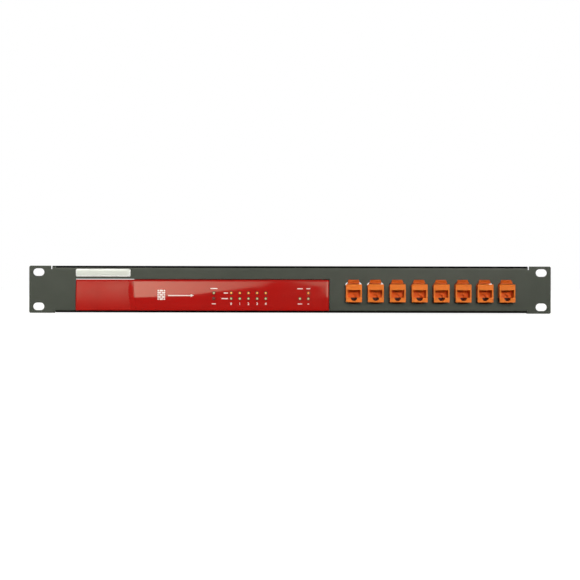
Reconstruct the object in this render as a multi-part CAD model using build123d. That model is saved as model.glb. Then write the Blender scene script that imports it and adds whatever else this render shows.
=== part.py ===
"""Rack-mounted firewall appliance: a desktop firewall, its power adapter and a row of network couplers on a
one-unit rack tray.

Millimetres. +X runs along the front panel, +Y into the rack and +Z up. The origin is the centre of the four rack
holes, on the rear face of the ears, where they meet the rack's rails.
"""
from build123d import *
import os

# Rack panel and tray
PANEL_WIDTH = 482.6
PANEL_HEIGHT = 43.7
SHEET = 1.5
SHEET_BEND = 1.0  # inside radius
HOLE_SPACING_X = 465.1
HOLE_SPACING_Z = 31.75
SLOT_LENGTH = 10.4
SLOT_HEIGHT = 7.0
EAR_CORNER = 1.6
MIDDLE_HALF = 220.1  # half the width between the ears
LEFT_EAR_STEP = 3.2  # how much further in the left ear reaches at its foot
RELIEF_WIDTH = 1.1
RELIEF_DEPTH = 3.2
TRAY_DEPTH = 226.0
FLOOR_LIFT = 0.5  # the floor clears the ears' lower edges
FLANGE_DEPTH = 14.0
REAR_LIP = 8.0
WALL_FRONT = 7.0  # where the side walls start, behind the bend relief
WALL_HEIGHT = 39.0
WALL_REAR_HEIGHT = 15.0

PANEL_TOP = PANEL_HEIGHT / 2
FLOOR_UNDER = -PANEL_TOP + FLOOR_LIFT
FLOOR = FLOOR_UNDER + SHEET

# Firewall unit
UNIT_CENTRE = -80.75
UNIT_TOP = 9.1
BEZEL_WIDTH = 233.6
BEZEL_FRONT = -7.5
BEZEL_BULGE = -14.0  # height at which the crowned front stands furthest out
BEZEL_CROWN = 82.0  # radius of the crown
BEZEL_WALL = 2.2
BEZEL_TOP = UNIT_TOP + 0.05
BEZEL_UNDER = FLOOR + 0.25
OPENING_GAP = 0.6
OPENING_TOP = 9.7
CASE_HALF = 116.5
CASE_SHEET = 1.0
CASE_FRONT = 3.0
CASE_REAR = 170.0
SIDE_FLANGE = 11.0
BOARD_UNDER = -13.85
BOARD_THICK = 1.6
BOARD_TOP = BOARD_UNDER + BOARD_THICK
BOARD_FRONT = 13.0
BOARD_REAR = 166.0
BOARD_HALF = 110.0
SCREW_RADIUS = 1.45
HOLE_RADIUS = 1.5

# Status lights, as X and Z on the bezel
LIGHT_UPPER = -3.2
LIGHT_LOWER = -8.35
LIGHT_PIPE_RADIUS = 1.0
PORT_LIGHTS_X = [-54.15 + 7.96 * i for i in range(5)]
LIGHTS = [(-70.15, LIGHT_UPPER), (-70.15, LIGHT_LOWER)]
LIGHTS += [(x, z) for x in PORT_LIGHTS_X for z in (LIGHT_UPPER, LIGHT_LOWER)]
LIGHTS += [(9.2, LIGHT_LOWER), (16.9, LIGHT_UPPER), (16.9, LIGHT_LOWER)]

# Rear connectors of the unit, as distances from its centre
ETHERNET_X = [UNIT_CENTRE + d for d in (-45.0, -27.0, -9.0, 9.0, 27.0)]
CONSOLE_X = UNIT_CENTRE + 46.5
USB_X = UNIT_CENTRE + 65.5
RESET_X = UNIT_CENTRE + 79.5
POWER_X = UNIT_CENTRE + 93.0
LOCK_X = UNIT_CENTRE + 107.0
PORT_FACE = CASE_REAR + 1.0
JACK_WIDTH = 16.0
JACK_HEIGHT = 13.4
JACK_DEPTH = 21.0
USB_WIDTH = 14.5
USB_HEIGHT = 15.4
USB_DEPTH = 17.5
POWER_JACK_Z = BOARD_TOP + 5.6
RESET_Z = BOARD_TOP + 3.5
RESET_TRAVEL = 0.8

# Network couplers
COUPLER_COUNT = 8
COUPLER_FIRST = 58.8
COUPLER_PITCH = 20.15
COUPLER_X = [COUPLER_FIRST + COUPLER_PITCH * i for i in range(COUPLER_COUNT)]
COUPLER_WIDTH = 14.5
COUPLER_FACE = -9.7
COUPLER_TOP = 5.1
COUPLER_UNDER = -11.4
COUPLER_NECK_TOP = 2.8
COUPLER_BROW = 4.5  # depth of the tall block at the front
COUPLER_JOIN = 14.2
COUPLER_REAR = 25.0
CUTOUT_WIDTH = 14.9
CUTOUT_UNDER = -12.1
CUTOUT_TOP = 7.1
CUTOUT_CORNER = 1.8  # slant across the cutout's upper corners
LATCH_WIDTH = 10.6
LATCH_TIP_WIDTH = (11.4, 9.3)  # of the thumb plate, at its foot and at its top
LATCH_PIVOT_Y = 12.0
LATCH_PIVOT_Z = 4.4
LATCH_BARREL = 1.0
LATCH_PLAY = 0.05
LATCH_TOP = 9.3

# Eight-way socket shared by the couplers and the unit
SOCKET_WIDTH = 11.86
SOCKET_HEIGHT = 6.9
SOCKET_DEPTH = 13.0
SOCKET_NOTCH = 3.05  # radius of the half-round notch for the plug's clip
NOTCH_DEPTH = 16.5
SOCKET_TOP = -0.27
CONTACT_PITCH = 1.02
CONTACT_SIZE = 0.36

# Power adapter and what holds it
ADAPTER_X = (100.5, 192.5)
ADAPTER_Y = (112.0, 158.0)
ADAPTER_TOP = FLOOR + 30.0
ADAPTER_SEAM = FLOOR + 16.0
ADAPTER_WALL = 2.2
ADAPTER_CORNER = 4.0
STRAP_WIDTH = 20.0
STRAP_GAP = 0.25
STRAP_FOOT = 15.0

# Clamp over the unit's rear edge
CLAMP_LEGS = ((-164.0, -150.0), (41.0, 56.0))
CLAMP_FRONT = 140.0
CLAMP_BACK = PORT_FACE + SHEET
PAD_THICK = 1.8
CLAMP_FOOT = 19.0
FOOT_HOLE_OFFSET = 10.0


def block(x, y, z):
    """A box from its limits along the three axes."""
    size = [high - low for low, high in (x, y, z)]
    middle = [(high + low) / 2 for low, high in (x, y, z)]
    return Pos(*middle) * Box(*size)


def across(sketch, x):
    """A prism whose outline is drawn in Y and Z, between two places along X."""
    return extrude(Plane.YZ.offset(x[0]) * sketch, amount=x[1] - x[0], dir=(1, 0, 0))


def deep(sketch, y):
    """A prism whose outline is drawn in X and Z, between two places along Y."""
    return extrude(Plane.XZ.offset(-y[0]) * sketch, amount=y[1] - y[0], dir=(0, 1, 0))


def tall(sketch, z):
    """A prism whose outline is drawn in X and Y, between two heights."""
    return extrude(Plane.XY.offset(z[0]) * sketch, amount=z[1] - z[0], dir=(0, 0, 1))


def folded(points, thickness, inside):
    """The section of a folded sheet, from the corners of its middle line."""
    return trace(FilletPolyline(*points, radius=inside + thickness / 2), line_width=thickness)


def rod(radius, x, y, z, axis="y"):
    """A round bar along one axis: that axis has two limits, and the others one place each."""
    spans = {"x": x, "y": y, "z": z}[axis]
    length, middle = spans[1] - spans[0], (spans[0] + spans[1]) / 2
    if axis == "x":
        return Pos(middle, y, z) * Rot(0, 90, 0) * Cylinder(radius, length)
    if axis == "y":
        return Pos(x, middle, z) * Rot(90, 0, 0) * Cylinder(radius, length)
    return Pos(x, y, middle) * Cylinder(radius, length)


def group(shapes):
    """Separate solids kept together as one node."""
    return Compound(children=[solid for shape in shapes for solid in shape.solids()])


def save(name, shape):
    export_step(shape, f"parts/{name}.step")


def edges_along(shape, axis, test):
    """Edges parallel to an axis whose middle passes a test."""
    return [e for e in shape.edges().filter_by(axis) if test(e.center())]


# Rack tray


def tie_bridge_places():
    """Where the floor has raised bridges for cable ties."""
    return [(70.0, 70.0), (70.0, 200.0), (150.0, 200.0), (-60.0, 205.0), (-190.0, 205.0)]


def foot_holes():
    """Places of the threaded holes in the tray's floor."""
    clamp_y = CLAMP_BACK + FOOT_HOLE_OFFSET
    places = [((low + high) / 2, clamp_y) for low, high in CLAMP_LEGS]
    strap_x = sum(ADAPTER_X) / 2
    reach = STRAP_GAP + SHEET + FOOT_HOLE_OFFSET - 1.5
    return places + [(strap_x, ADAPTER_Y[0] - reach), (strap_x, ADAPTER_Y[1] + reach)]


def rack_tray():
    half_sheet = SHEET / 2
    floor_middle = FLOOR - half_sheet
    rear_middle = TRAY_DEPTH - half_sheet
    front = [
        (rear_middle, FLOOR_UNDER + REAR_LIP),
        (rear_middle, floor_middle),
        (-half_sheet, floor_middle),
        (-half_sheet, PANEL_TOP - half_sheet),
        (FLANGE_DEPTH, PANEL_TOP - half_sheet),
    ]
    left_foot = -MIDDLE_HALF + LEFT_EAR_STEP
    tray = across(folded(front, SHEET, SHEET_BEND), (-MIDDLE_HALF, MIDDLE_HALF))
    # The left ear's foot takes the place of the bend's end, and the walls' own bends that of the floor's long edges
    foot_z = (-PANEL_TOP - 1, RELIEF_DEPTH - PANEL_TOP)
    tray -= block((-MIDDLE_HALF - 1, left_foot), (-SHEET - 1, WALL_FRONT), foot_z)
    for side in (-1, 1):
        corner = sorted((side * (MIDDLE_HALF - LEFT_EAR_STEP), side * (MIDDLE_HALF + 1)))
        tray -= block(corner, (WALL_FRONT, TRAY_DEPTH + 1), (-PANEL_TOP - 1, 0))

    # Side walls fold up from the floor and fall away to the rear
    wall_x = MIDDLE_HALF - half_sheet
    wall_top = FLOOR_UNDER + WALL_HEIGHT
    walls = folded([(-wall_x, wall_top), (-wall_x, floor_middle), (wall_x, floor_middle), (wall_x, wall_top)],
                   SHEET, SHEET_BEND)
    slope = Polygon((45, wall_top + 1), (135, FLOOR_UNDER + WALL_REAR_HEIGHT),
                    (TRAY_DEPTH + 1, FLOOR_UNDER + WALL_REAR_HEIGHT), (TRAY_DEPTH + 1, wall_top + 1), align=None)
    sides = deep(walls, (WALL_FRONT, TRAY_DEPTH - 4)) - across(slope, (-PANEL_WIDTH, PANEL_WIDTH))
    tray += sides

    for side in (-1, 1):
        edge = side * PANEL_WIDTH / 2
        inner = side * (MIDDLE_HALF + RELIEF_WIDTH)
        ear = block(sorted((edge, inner)), (-SHEET, 0), (-PANEL_TOP, PANEL_TOP))
        ear = fillet(edges_along(ear, Axis.Y, lambda c, e=edge: abs(c.X - e) < 0.1), EAR_CORNER)
        ear += block(sorted((inner, side * (MIDDLE_HALF - 1))), (-SHEET, 0), (-PANEL_TOP, PANEL_TOP - RELIEF_DEPTH))
        tray += ear
    tray += block((-MIDDLE_HALF - 1, left_foot - 0.5), (-SHEET, 0), (-PANEL_TOP, RELIEF_DEPTH - PANEL_TOP + 1))
    tray -= block((MIDDLE_HALF - 0.3, MIDDLE_HALF), (-SHEET - 1, WALL_FRONT), foot_z)

    slot = SlotOverall(SLOT_LENGTH, SLOT_HEIGHT)
    for x in (-HOLE_SPACING_X / 2, HOLE_SPACING_X / 2):
        for z in (-HOLE_SPACING_Z / 2, HOLE_SPACING_Z / 2):
            tray -= deep(Pos(x, z) * slot, (-SHEET - 1, 1))

    opening = [UNIT_CENTRE + side * (BEZEL_WIDTH / 2 + OPENING_GAP) for side in (-1, 1)]
    tray -= block(opening, (-SHEET - 1, SHEET), (FLOOR, OPENING_TOP))
    for x in COUPLER_X:
        cutout = block((x - CUTOUT_WIDTH / 2, x + CUTOUT_WIDTH / 2), (-SHEET - 1, 1), (CUTOUT_UNDER, CUTOUT_TOP))
        tray -= chamfer(edges_along(cutout, Axis.Y, lambda c: c.Z > CUTOUT_TOP - 0.1), CUTOUT_CORNER)

    under = (FLOOR_UNDER - 1, FLOOR + 1)
    vent = SlotOverall(34, 4)
    vents = [tall(Pos(UNIT_CENTRE - 76 + 38 * column, 40 + 12 * row) * vent, under)
             for column in range(5) for row in range(9)]
    tray -= vents
    holes = [rod(HOLE_RADIUS, x, y, under, "z") for x, y in foot_holes()]
    tray -= holes
    for x, y in tie_bridge_places():
        tray -= block((x - 5, x + 5), (y - 3.5, y + 3.5), under)
        arch = folded([(x - 7, FLOOR - 0.6), (x - 5, FLOOR - 0.6), (x - 3.2, FLOOR + 2.0), (x + 3.2, FLOOR + 2.0),
                       (x + 5, FLOOR - 0.6), (x + 7, FLOOR - 0.6)], 1.2, 0.2)
        tray += deep(arch, (y - 2, y + 2))
    return tray


def badge_plate():
    """Blank domed label plate above the unit's opening."""
    width, height, thickness = 50.6, 7.3, 1.0
    plate = deep(Pos(-172.8, 15.35) * RectangleRounded(width, height, 1.4), (-SHEET - thickness, -SHEET))
    return fillet(plate.faces().sort_by(Axis.Y)[0].edges(), 0.6)


def rear_clamp_bar():
    """Bar over the unit's rear edge, on two legs with feet on the tray's floor."""
    plate_z = UNIT_TOP + PAD_THICK + SHEET / 2
    back_y = CLAMP_BACK - SHEET / 2
    section = folded([(CLAMP_FRONT, plate_z), (back_y, plate_z), (back_y, FLOOR + SHEET / 2),
                      (CLAMP_BACK + CLAMP_FOOT, FLOOR + SHEET / 2)], SHEET, 0.8)
    left, right = CLAMP_LEGS
    bar = across(section, (left[0], right[1]))
    bar -= block((left[1], right[0]), (PORT_FACE - 4, CLAMP_BACK + CLAMP_FOOT + 1), (FLOOR - 1, 4.6))
    for x, y in foot_holes()[:2]:
        bar -= rod(HOLE_RADIUS + 0.2, x, y, (FLOOR - 1, FLOOR + SHEET + 1), "z")
    corners = edges_along(bar, Axis.Z, lambda c: c.Y > CLAMP_BACK + CLAMP_FOOT - 0.1 or c.Y < CLAMP_FRONT + 0.1)
    return fillet(corners, 3.0)


def clamp_pad():
    """Foam strip between the clamp bar and the unit's cover."""
    case_right = UNIT_CENTRE + CASE_HALF
    return block((CLAMP_LEGS[0][0] + 2, case_right - 2), (CLAMP_FRONT + 2, CASE_REAR - 2),
                 (UNIT_TOP, UNIT_TOP + PAD_THICK))


def adapter_strap():
    """Hat-shaped strap that holds the power adapter down."""
    reach = STRAP_GAP + SHEET / 2
    front, back = ADAPTER_Y[0] - reach, ADAPTER_Y[1] + reach
    low, high = FLOOR + SHEET / 2, ADAPTER_TOP + reach
    section = folded([(front - STRAP_FOOT, low), (front, low), (front, high), (back, high), (back, low),
                      (back + STRAP_FOOT, low)], SHEET, 1.0)
    middle = sum(ADAPTER_X) / 2
    strap = across(section, (middle - STRAP_WIDTH / 2, middle + STRAP_WIDTH / 2))
    for x, y in foot_holes()[2:]:
        strap -= rod(HOLE_RADIUS + 0.2, x, y, (FLOOR - 1, FLOOR + SHEET + 1), "z")
    ends = edges_along(strap, Axis.Z, lambda c: c.Y < front - STRAP_FOOT + 0.1 or c.Y > back + STRAP_FOOT - 0.1)
    return fillet(ends, 3.0)


def thumb_screws():
    """Knurled screws through the clamp's and strap's feet into the floor."""
    screws = []
    for x, y in foot_holes():
        seat = FLOOR + SHEET
        head = tall(Pos(x, y) * RegularPolygon(4.4, 24), (seat + 1.2, seat + 8.2))
        head += rod(3.2, x, y, (seat, seat + 1.2), "z")
        head -= block((x - 3.4, x + 3.4), (y - 0.5, y + 0.5), (seat + 7.0, seat + 9))
        screws.append(head + rod(SCREW_RADIUS, x, y, (FLOOR_UNDER, seat), "z"))
    return group(screws)


# Couplers


def socket_space(x, mouth, away, top):
    """The space of an eight-way socket that opens at mouth and runs away (+1 or -1) along Y."""
    span = sorted((mouth - away * 0.01, mouth + away * SOCKET_DEPTH))
    cavity = block((x - SOCKET_WIDTH / 2, x + SOCKET_WIDTH / 2), span, (top - SOCKET_HEIGHT, top))
    notch_span = sorted((mouth - away * 0.01, mouth + away * NOTCH_DEPTH))
    return cavity + rod(SOCKET_NOTCH, x, notch_span, top - SOCKET_HEIGHT)


def contact_row(x, points):
    """Eight sprung wires that follow points given in Y and Z."""
    section = folded(points, CONTACT_SIZE, 0.2)
    first = x - 3.5 * CONTACT_PITCH
    starts = [first + CONTACT_PITCH * i - CONTACT_SIZE / 2 for i in range(8)]
    return [across(section, (start, start + CONTACT_SIZE)) for start in starts]


def coupler_contacts(x):
    front_back = COUPLER_FACE + SOCKET_DEPTH
    rear_back = COUPLER_REAR - SOCKET_DEPTH
    tip, bend, run = 5.4, SOCKET_TOP - 0.5, SOCKET_TOP - 1.6
    points = [
        (front_back - 0.8, SOCKET_TOP - 2.3),
        (front_back - tip, bend),
        (front_back - 0.3, bend),
        (front_back + 1.2, run),
        (rear_back - 1.2, run),
        (rear_back + 0.3, bend),
        (rear_back + tip, bend),
        (rear_back + 0.8, SOCKET_TOP - 2.3),
    ]
    return contact_row(x, points)


def coupler_housing(x, wires):
    """Front half of one coupler, snapped into the panel: a lip and a hook grip the cutout's lower edge."""
    half = COUPLER_WIDTH / 2
    body = block((x - half, x + half), (COUPLER_FACE, COUPLER_FACE + COUPLER_BROW), (COUPLER_UNDER, COUPLER_TOP))
    body += block((x - half, x + half), (COUPLER_FACE + COUPLER_BROW, COUPLER_JOIN), (COUPLER_UNDER, COUPLER_NECK_TOP))
    body = fillet(edges_along(body, Axis.Y, lambda c: c.Y < 0 and c.Z > COUPLER_NECK_TOP), 0.5)
    lip_radius = 14.0
    lip_under = COUPLER_UNDER - 1.5
    lip = rod(lip_radius, x, (-SHEET - 1.7, -SHEET - 0.02), lip_under + lip_radius)
    body += lip & block((x - half, x + half), (-10, 10), (lip_under - 1, COUPLER_UNDER + 0.5))
    hook = Polygon((0.02, COUPLER_UNDER), (0.02, COUPLER_UNDER - 1.4), (1.0, COUPLER_UNDER - 1.4), (3.4, COUPLER_UNDER),
                   align=None)
    body += across(hook, (x - 5, x + 5))
    cradle = block((x - half, x + half), (LATCH_PIVOT_Y - 1.8, LATCH_PIVOT_Y + 1.8), (COUPLER_NECK_TOP, LATCH_PIVOT_Z))
    body += cradle
    body -= rod(LATCH_BARREL + LATCH_PLAY, (x - LATCH_WIDTH / 2 - 0.2, x + LATCH_WIDTH / 2 + 0.2), LATCH_PIVOT_Y,
                LATCH_PIVOT_Z, "x")
    body -= socket_space(x, COUPLER_FACE, 1, SOCKET_TOP)
    body -= socket_space(x, COUPLER_REAR, -1, SOCKET_TOP)
    return body - wires


def coupler_rear_shell(x):
    """Rear half of one coupler, around the socket for the lead inside the rack."""
    half = COUPLER_WIDTH / 2
    shell = block((x - half, x + half), (COUPLER_JOIN, COUPLER_REAR), (COUPLER_UNDER, COUPLER_NECK_TOP))
    shell = fillet(edges_along(shell, Axis.Y, lambda c: True), 0.6)
    return shell - socket_space(x, COUPLER_REAR, -1, SOCKET_TOP)


def coupler_latch(x):
    """Sprung lever over the coupler: pressing its tip down frees the coupler from the panel's upper edge."""
    arm_top, tip_back, tip_front = CUTOUT_TOP - 0.15, -SHEET - 0.12, -SHEET - 2.9
    arm_under = arm_top - 1.2
    arm = Polygon(
        (LATCH_PIVOT_Y + 0.6, LATCH_PIVOT_Z + 1.3), (3.4, arm_top - 0.35), (2.8, LATCH_TOP - 0.9),
        (0.5, LATCH_TOP - 0.9), (0.15, arm_top), (tip_back, arm_top), (tip_back, arm_under), (-1.0, arm_under),
        (LATCH_PIVOT_Y - 1.6, LATCH_PIVOT_Z + 0.42), (LATCH_PIVOT_Y, LATCH_PIVOT_Z), align=None)
    plate = Polygon((tip_back, arm_under), (tip_back, LATCH_TOP), (tip_back - 0.6, LATCH_TOP),
                    (tip_front, arm_top - 0.3), (tip_front, arm_under), align=None)
    foot, top = (width / 2 for width in LATCH_TIP_WIDTH)
    taper = Polygon((x - foot, arm_under), (x - top, LATCH_TOP), (x + top, LATCH_TOP), (x + foot, arm_under), align=None)
    tip = across(plate, (x - foot, x + foot)) & deep(taper, (tip_front, tip_back))
    span = (x - LATCH_WIDTH / 2, x + LATCH_WIDTH / 2)
    return across(arm, span) + tip + rod(LATCH_BARREL, span, LATCH_PIVOT_Y, LATCH_PIVOT_Z, "x")


# Firewall unit


def case_base():
    """Lower shell: floor, rear panel with the connector cutouts, inner front panel and low side flanges."""
    half = CASE_HALF - CASE_SHEET - 0.1
    low, high = FLOOR + CASE_SHEET / 2, UNIT_TOP - CASE_SHEET - 0.1
    front, back = CASE_FRONT + CASE_SHEET / 2, CASE_REAR - CASE_SHEET / 2
    section = folded([(front, high), (front, low), (back, low), (back, high)], CASE_SHEET, 0.6)
    base = across(section, (-half, half))
    base = chamfer(edges_along(base, Axis.Y, lambda c: c.Z > high - 0.1), 1.2)
    flange_x = half - CASE_SHEET / 2
    flange_top = FLOOR + SIDE_FLANGE
    sides = folded([(-flange_x, flange_top), (-flange_x, low), (flange_x, low), (flange_x, flange_top)], CASE_SHEET, 0.6)
    base += deep(sides, (CASE_FRONT + 4, CASE_REAR - 4))
    base = Pos(UNIT_CENTRE, 0, 0) * base

    front_cut = (CASE_FRONT - 1, CASE_FRONT + CASE_SHEET + 1)
    base -= [rod(LIGHT_PIPE_RADIUS + 0.3, x, front_cut, z) for x, z in LIGHTS]
    rear_cut = (CASE_REAR - CASE_SHEET - 1, CASE_REAR + 1)
    for x in ETHERNET_X + [CONSOLE_X]:
        base -= block((x - JACK_WIDTH / 2 - 0.15, x + JACK_WIDTH / 2 + 0.15), rear_cut,
                      (BOARD_TOP - 0.2, BOARD_TOP + JACK_HEIGHT + 0.2))
    base -= block((USB_X - USB_WIDTH / 2 - 0.15, USB_X + USB_WIDTH / 2 + 0.15), rear_cut,
                  (BOARD_TOP - 0.2, BOARD_TOP + USB_HEIGHT + 0.2))
    base -= rod(1.8, RESET_X, rear_cut, RESET_Z)
    base -= rod(4.2, POWER_X, rear_cut, POWER_JACK_Z)
    base -= deep(Pos(LOCK_X, RESET_Z) * RectangleRounded(3.0, 7.0, 0.8), rear_cut)
    # Air slots at the end of the rear panel that has no connectors
    slot = SlotOverall(15, 1.8, rotation=90)
    base -= [deep(Pos(UNIT_CENTRE - 108 + 4.2 * i, -5.6) * slot, rear_cut) for i in range(6)]
    base -= [rod(HOLE_RADIUS, (x - 3, x + 3), y, z, "x") for x, y, z in cover_screw_places()]
    under = (FLOOR - 1, FLOOR + CASE_SHEET + 1)
    vent = SlotOverall(26, 2.4)
    base -= [tall(Pos(UNIT_CENTRE - 60 + 30 * column, 60 + 7 * row) * vent, under)
             for column in range(5) for row in range(8)]
    return base


def cover_screw_places():
    """Screws at the sides of the case, as the middle of the sheet they pass through."""
    z = FLOOR + 6.5
    return [(UNIT_CENTRE + side * (CASE_HALF - CASE_SHEET / 2), y, z) for side in (-1, 1) for y in (28.0, 92.0, 152.0)]


def case_cover():
    """Upper shell: top and both sides, with air slots."""
    middle = CASE_HALF - CASE_SHEET / 2
    low, high = FLOOR + 1.0, UNIT_TOP - CASE_SHEET / 2
    section = folded([(-middle, low), (-middle, high), (middle, high), (middle, low)], CASE_SHEET, 0.8)
    cover = Pos(UNIT_CENTRE, 0, 0) * deep(section, (CASE_FRONT, CASE_REAR))
    through = (UNIT_TOP - 3, UNIT_TOP + 1)
    slot = SlotOverall(18, 2.6, rotation=90)
    cover -= [tall(Pos(UNIT_CENTRE - 42 + 6 * i, 58 + 25 * row) * slot, through) for i in range(15) for row in range(3)]
    side_slot = SlotOverall(11, 2.2, rotation=90)
    for side in (-1, 1):
        wall = UNIT_CENTRE + side * middle
        cuts = [across(Pos(46 + 5 * i, -1.2) * side_slot, (wall - 2, wall + 2)) for i in range(18)]
        cover -= cuts
    cover -= [rod(HOLE_RADIUS, (x - 2, x + 2), y, z, "x") for x, y, z in cover_screw_places()]
    return cover


def cover_screws():
    """Pan-head screws through the cover's sides into the base's flanges."""
    screws = []
    for x, y, z in cover_screw_places():
        side = 1 if x > UNIT_CENTRE else -1
        face = UNIT_CENTRE + side * CASE_HALF
        head = rod(2.7, sorted((face, face + side * 1.5)), y, z, "x")
        head = fillet(head.faces().sort_by(Axis.X)[-1 if side > 0 else 0].edges(), 0.6)
        head -= block(sorted((face + side * 0.9, face + side * 2)), (y - 1.6, y + 1.6), (z - 0.3, z + 0.3))
        screws.append(head + rod(SCREW_RADIUS, sorted((face, face - side * 3.5)), y, z, "x"))
    return group(screws)


def bezel_face(z):
    """Where the bezel's crowned front is along Y at a height."""
    return BEZEL_FRONT + BEZEL_CROWN - (BEZEL_CROWN**2 - (z - BEZEL_BULGE) ** 2) ** 0.5


def front_bezel():
    """Moulded front with a gently crowned face, hollow behind, with a hole for each light pipe."""
    face = [(bezel_face(z), z) for z in (BEZEL_UNDER, BEZEL_BULGE, BEZEL_TOP)]
    outline = ThreePointArc(*face)
    outline += Polyline(face[2], (CASE_FRONT, BEZEL_TOP), (CASE_FRONT, BEZEL_UNDER), face[0])
    left, right = UNIT_CENTRE - BEZEL_WIDTH / 2, UNIT_CENTRE + BEZEL_WIDTH / 2
    shell = across(make_face(outline), (left, right))
    shell = fillet(edges_along(shell, Axis.Y, lambda c: True), 1.2)
    hollow_y = (face[2][0] + BEZEL_WALL, CASE_FRONT + 1)
    shell -= block((left + BEZEL_WALL, right - BEZEL_WALL), hollow_y, (BEZEL_UNDER + BEZEL_WALL, BEZEL_TOP - BEZEL_WALL))
    return shell - [rod(LIGHT_PIPE_RADIUS, x, (BEZEL_FRONT - 1, CASE_FRONT), z) for x, z in LIGHTS]


def light_pipes():
    """Clear rods that carry each lamp's light through the bezel, ending just inside its front."""
    return group([rod(LIGHT_PIPE_RADIUS, x, (bezel_face(z) + 0.15, 6.0), z) for x, z in LIGHTS])


def light_board():
    """Small upright board that carries the status lamps behind the front panel."""
    board = block((-78, 24), (7.2, 8.4), (BOARD_TOP + 1, 0.6))
    return board


def status_lamps():
    return group([block((x - 1.0, x + 1.0), (6.1, 7.2), (z - 0.7, z + 0.7)) for x, z in LIGHTS])


def board_screw_places():
    return [(UNIT_CENTRE + dx, y) for dx, y in ((-104, 20), (-104, 140), (0, 20), (0, 125), (104, 20), (104, 140))]


def main_board():
    board = block((UNIT_CENTRE - BOARD_HALF, UNIT_CENTRE + BOARD_HALF), (BOARD_FRONT, BOARD_REAR),
                  (BOARD_UNDER, BOARD_TOP))
    return board - [rod(1.7, x, y, (BOARD_UNDER - 1, BOARD_TOP + 1), "z") for x, y in board_screw_places()]


def board_standoffs():
    """Threaded spacers pressed into the case's floor."""
    low = FLOOR + CASE_SHEET
    posts = [rod(2.8, x, y, (low, BOARD_UNDER), "z") - rod(HOLE_RADIUS, x, y, (low + 1, BOARD_UNDER + 1), "z")
             for x, y in board_screw_places()]
    return group(posts)


def board_screws():
    screws = []
    for x, y in board_screw_places():
        head = rod(2.7, x, y, (BOARD_TOP, BOARD_TOP + 1.7), "z")
        head -= block((x - 1.6, x + 1.6), (y - 0.3, y + 0.3), (BOARD_TOP + 1.0, BOARD_TOP + 2))
        screws.append(head + rod(SCREW_RADIUS, x, y, (BOARD_TOP - 5.0, BOARD_TOP), "z"))
    return group(screws)


PROCESSOR_PLACE = (UNIT_CENTRE, 84.0)
PROCESSOR_TOP = BOARD_TOP + 2.5
THERMAL_PAD = 0.5


def processor():
    x, y = PROCESSOR_PLACE
    package = block((x - 14, x + 14), (y - 14, y + 14), (BOARD_TOP, BOARD_TOP + 1.3))
    return package + block((x - 9, x + 9), (y - 9, y + 9), (BOARD_TOP + 1.3, PROCESSOR_TOP))


def thermal_pad():
    x, y = PROCESSOR_PLACE
    return block((x - 9, x + 9), (y - 9, y + 9), (PROCESSOR_TOP, PROCESSOR_TOP + THERMAL_PAD))


def heat_sink():
    """Finned aluminium block on the processor."""
    x, y = PROCESSOR_PLACE
    low = PROCESSOR_TOP + THERMAL_PAD
    sink = block((x - 34, x + 34), (y - 30, y + 30), (low, low + 2.5))
    fins = [block((x - 34 + 4.8 * i, x - 32.8 + 4.8 * i), (y - 30, y + 30), (low + 2.5, low + 14.5)) for i in range(15)]
    return sink + fins


def memory_chips():
    """Memory, flash and controller packages."""
    x, y = PROCESSOR_PLACE
    chips = [(x + 48, y - 20 + 13 * i, 5.5, 4.5, 1.1) for i in range(4)]
    chips += [(x - 48, y - 18, 6, 4, 1.2), (x - 50, y + 14, 8, 8, 1.0), (x + 4, 30, 7, 7, 1.0), (x - 80, 60, 4, 3, 1.4)]
    return group([block((cx - a, cx + a), (cy - b, cy + b), (BOARD_TOP, BOARD_TOP + h)) for cx, cy, a, b, h in chips])


def lan_magnetics():
    """Isolating transformer packages, one behind each network jack."""
    y = PORT_FACE - JACK_DEPTH - 10
    return group([block((x - 7.5, x + 7.5), (y - 5, y + 5), (BOARD_TOP, BOARD_TOP + 5.5)) for x in ETHERNET_X])


def capacitors():
    places = [(UNIT_CENTRE + 74 + 11 * i, 60 + 14 * k) for i in range(3) for k in range(2)]
    cans = [rod(4.0, x, y, (BOARD_TOP, BOARD_TOP + 11.5), "z") for x, y in places]
    cans = [fillet(can.faces().sort_by(Axis.Z)[-1].edges(), 0.8) for can in cans]
    return group(cans)


def inductors():
    places = [(UNIT_CENTRE + 76 + 16 * i, 100 + 17 * k) for i in range(2) for k in range(2)]
    return group([block((x - 5.5, x + 5.5), (y - 5.5, y + 5.5), (BOARD_TOP, BOARD_TOP + 5.0)) for x, y in places])


CELL_PLACE = (UNIT_CENTRE - 84, 100.0)


def coin_cell():
    x, y = CELL_PLACE
    return rod(10.0, x, y, (BOARD_TOP + 1.2, BOARD_TOP + 4.4), "z")


def coin_cell_holder():
    x, y = CELL_PLACE
    holder = rod(11.6, x, y, (BOARD_TOP, BOARD_TOP + 3.6), "z") - rod(10.1, x, y, (BOARD_TOP + 1.2, BOARD_TOP + 5), "z")
    return holder - block((x - 4, x + 4), (y - 13, y), (BOARD_TOP + 1.2, BOARD_TOP + 5))


JACK_SOCKET_TOP = BOARD_TOP + JACK_HEIGHT - 1.9


def jack(x, wires):
    """Shielded network jack with its mouth just proud of the rear panel."""
    half = JACK_WIDTH / 2
    shell = block((x - half, x + half), (PORT_FACE - JACK_DEPTH, PORT_FACE), (BOARD_TOP, BOARD_TOP + JACK_HEIGHT))
    shell -= socket_space(x, PORT_FACE, -1, JACK_SOCKET_TOP)
    return shell - wires


def jack_wires(x):
    back = PORT_FACE - SOCKET_DEPTH
    top = JACK_SOCKET_TOP
    points = [(back + 0.8, top - 2.3), (back + 5.4, top - 0.5), (back - 0.3, top - 0.5), (back - 1.8, top - 1.6),
              (back - 4.0, top - 1.6)]
    return contact_row(x, points)


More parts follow.
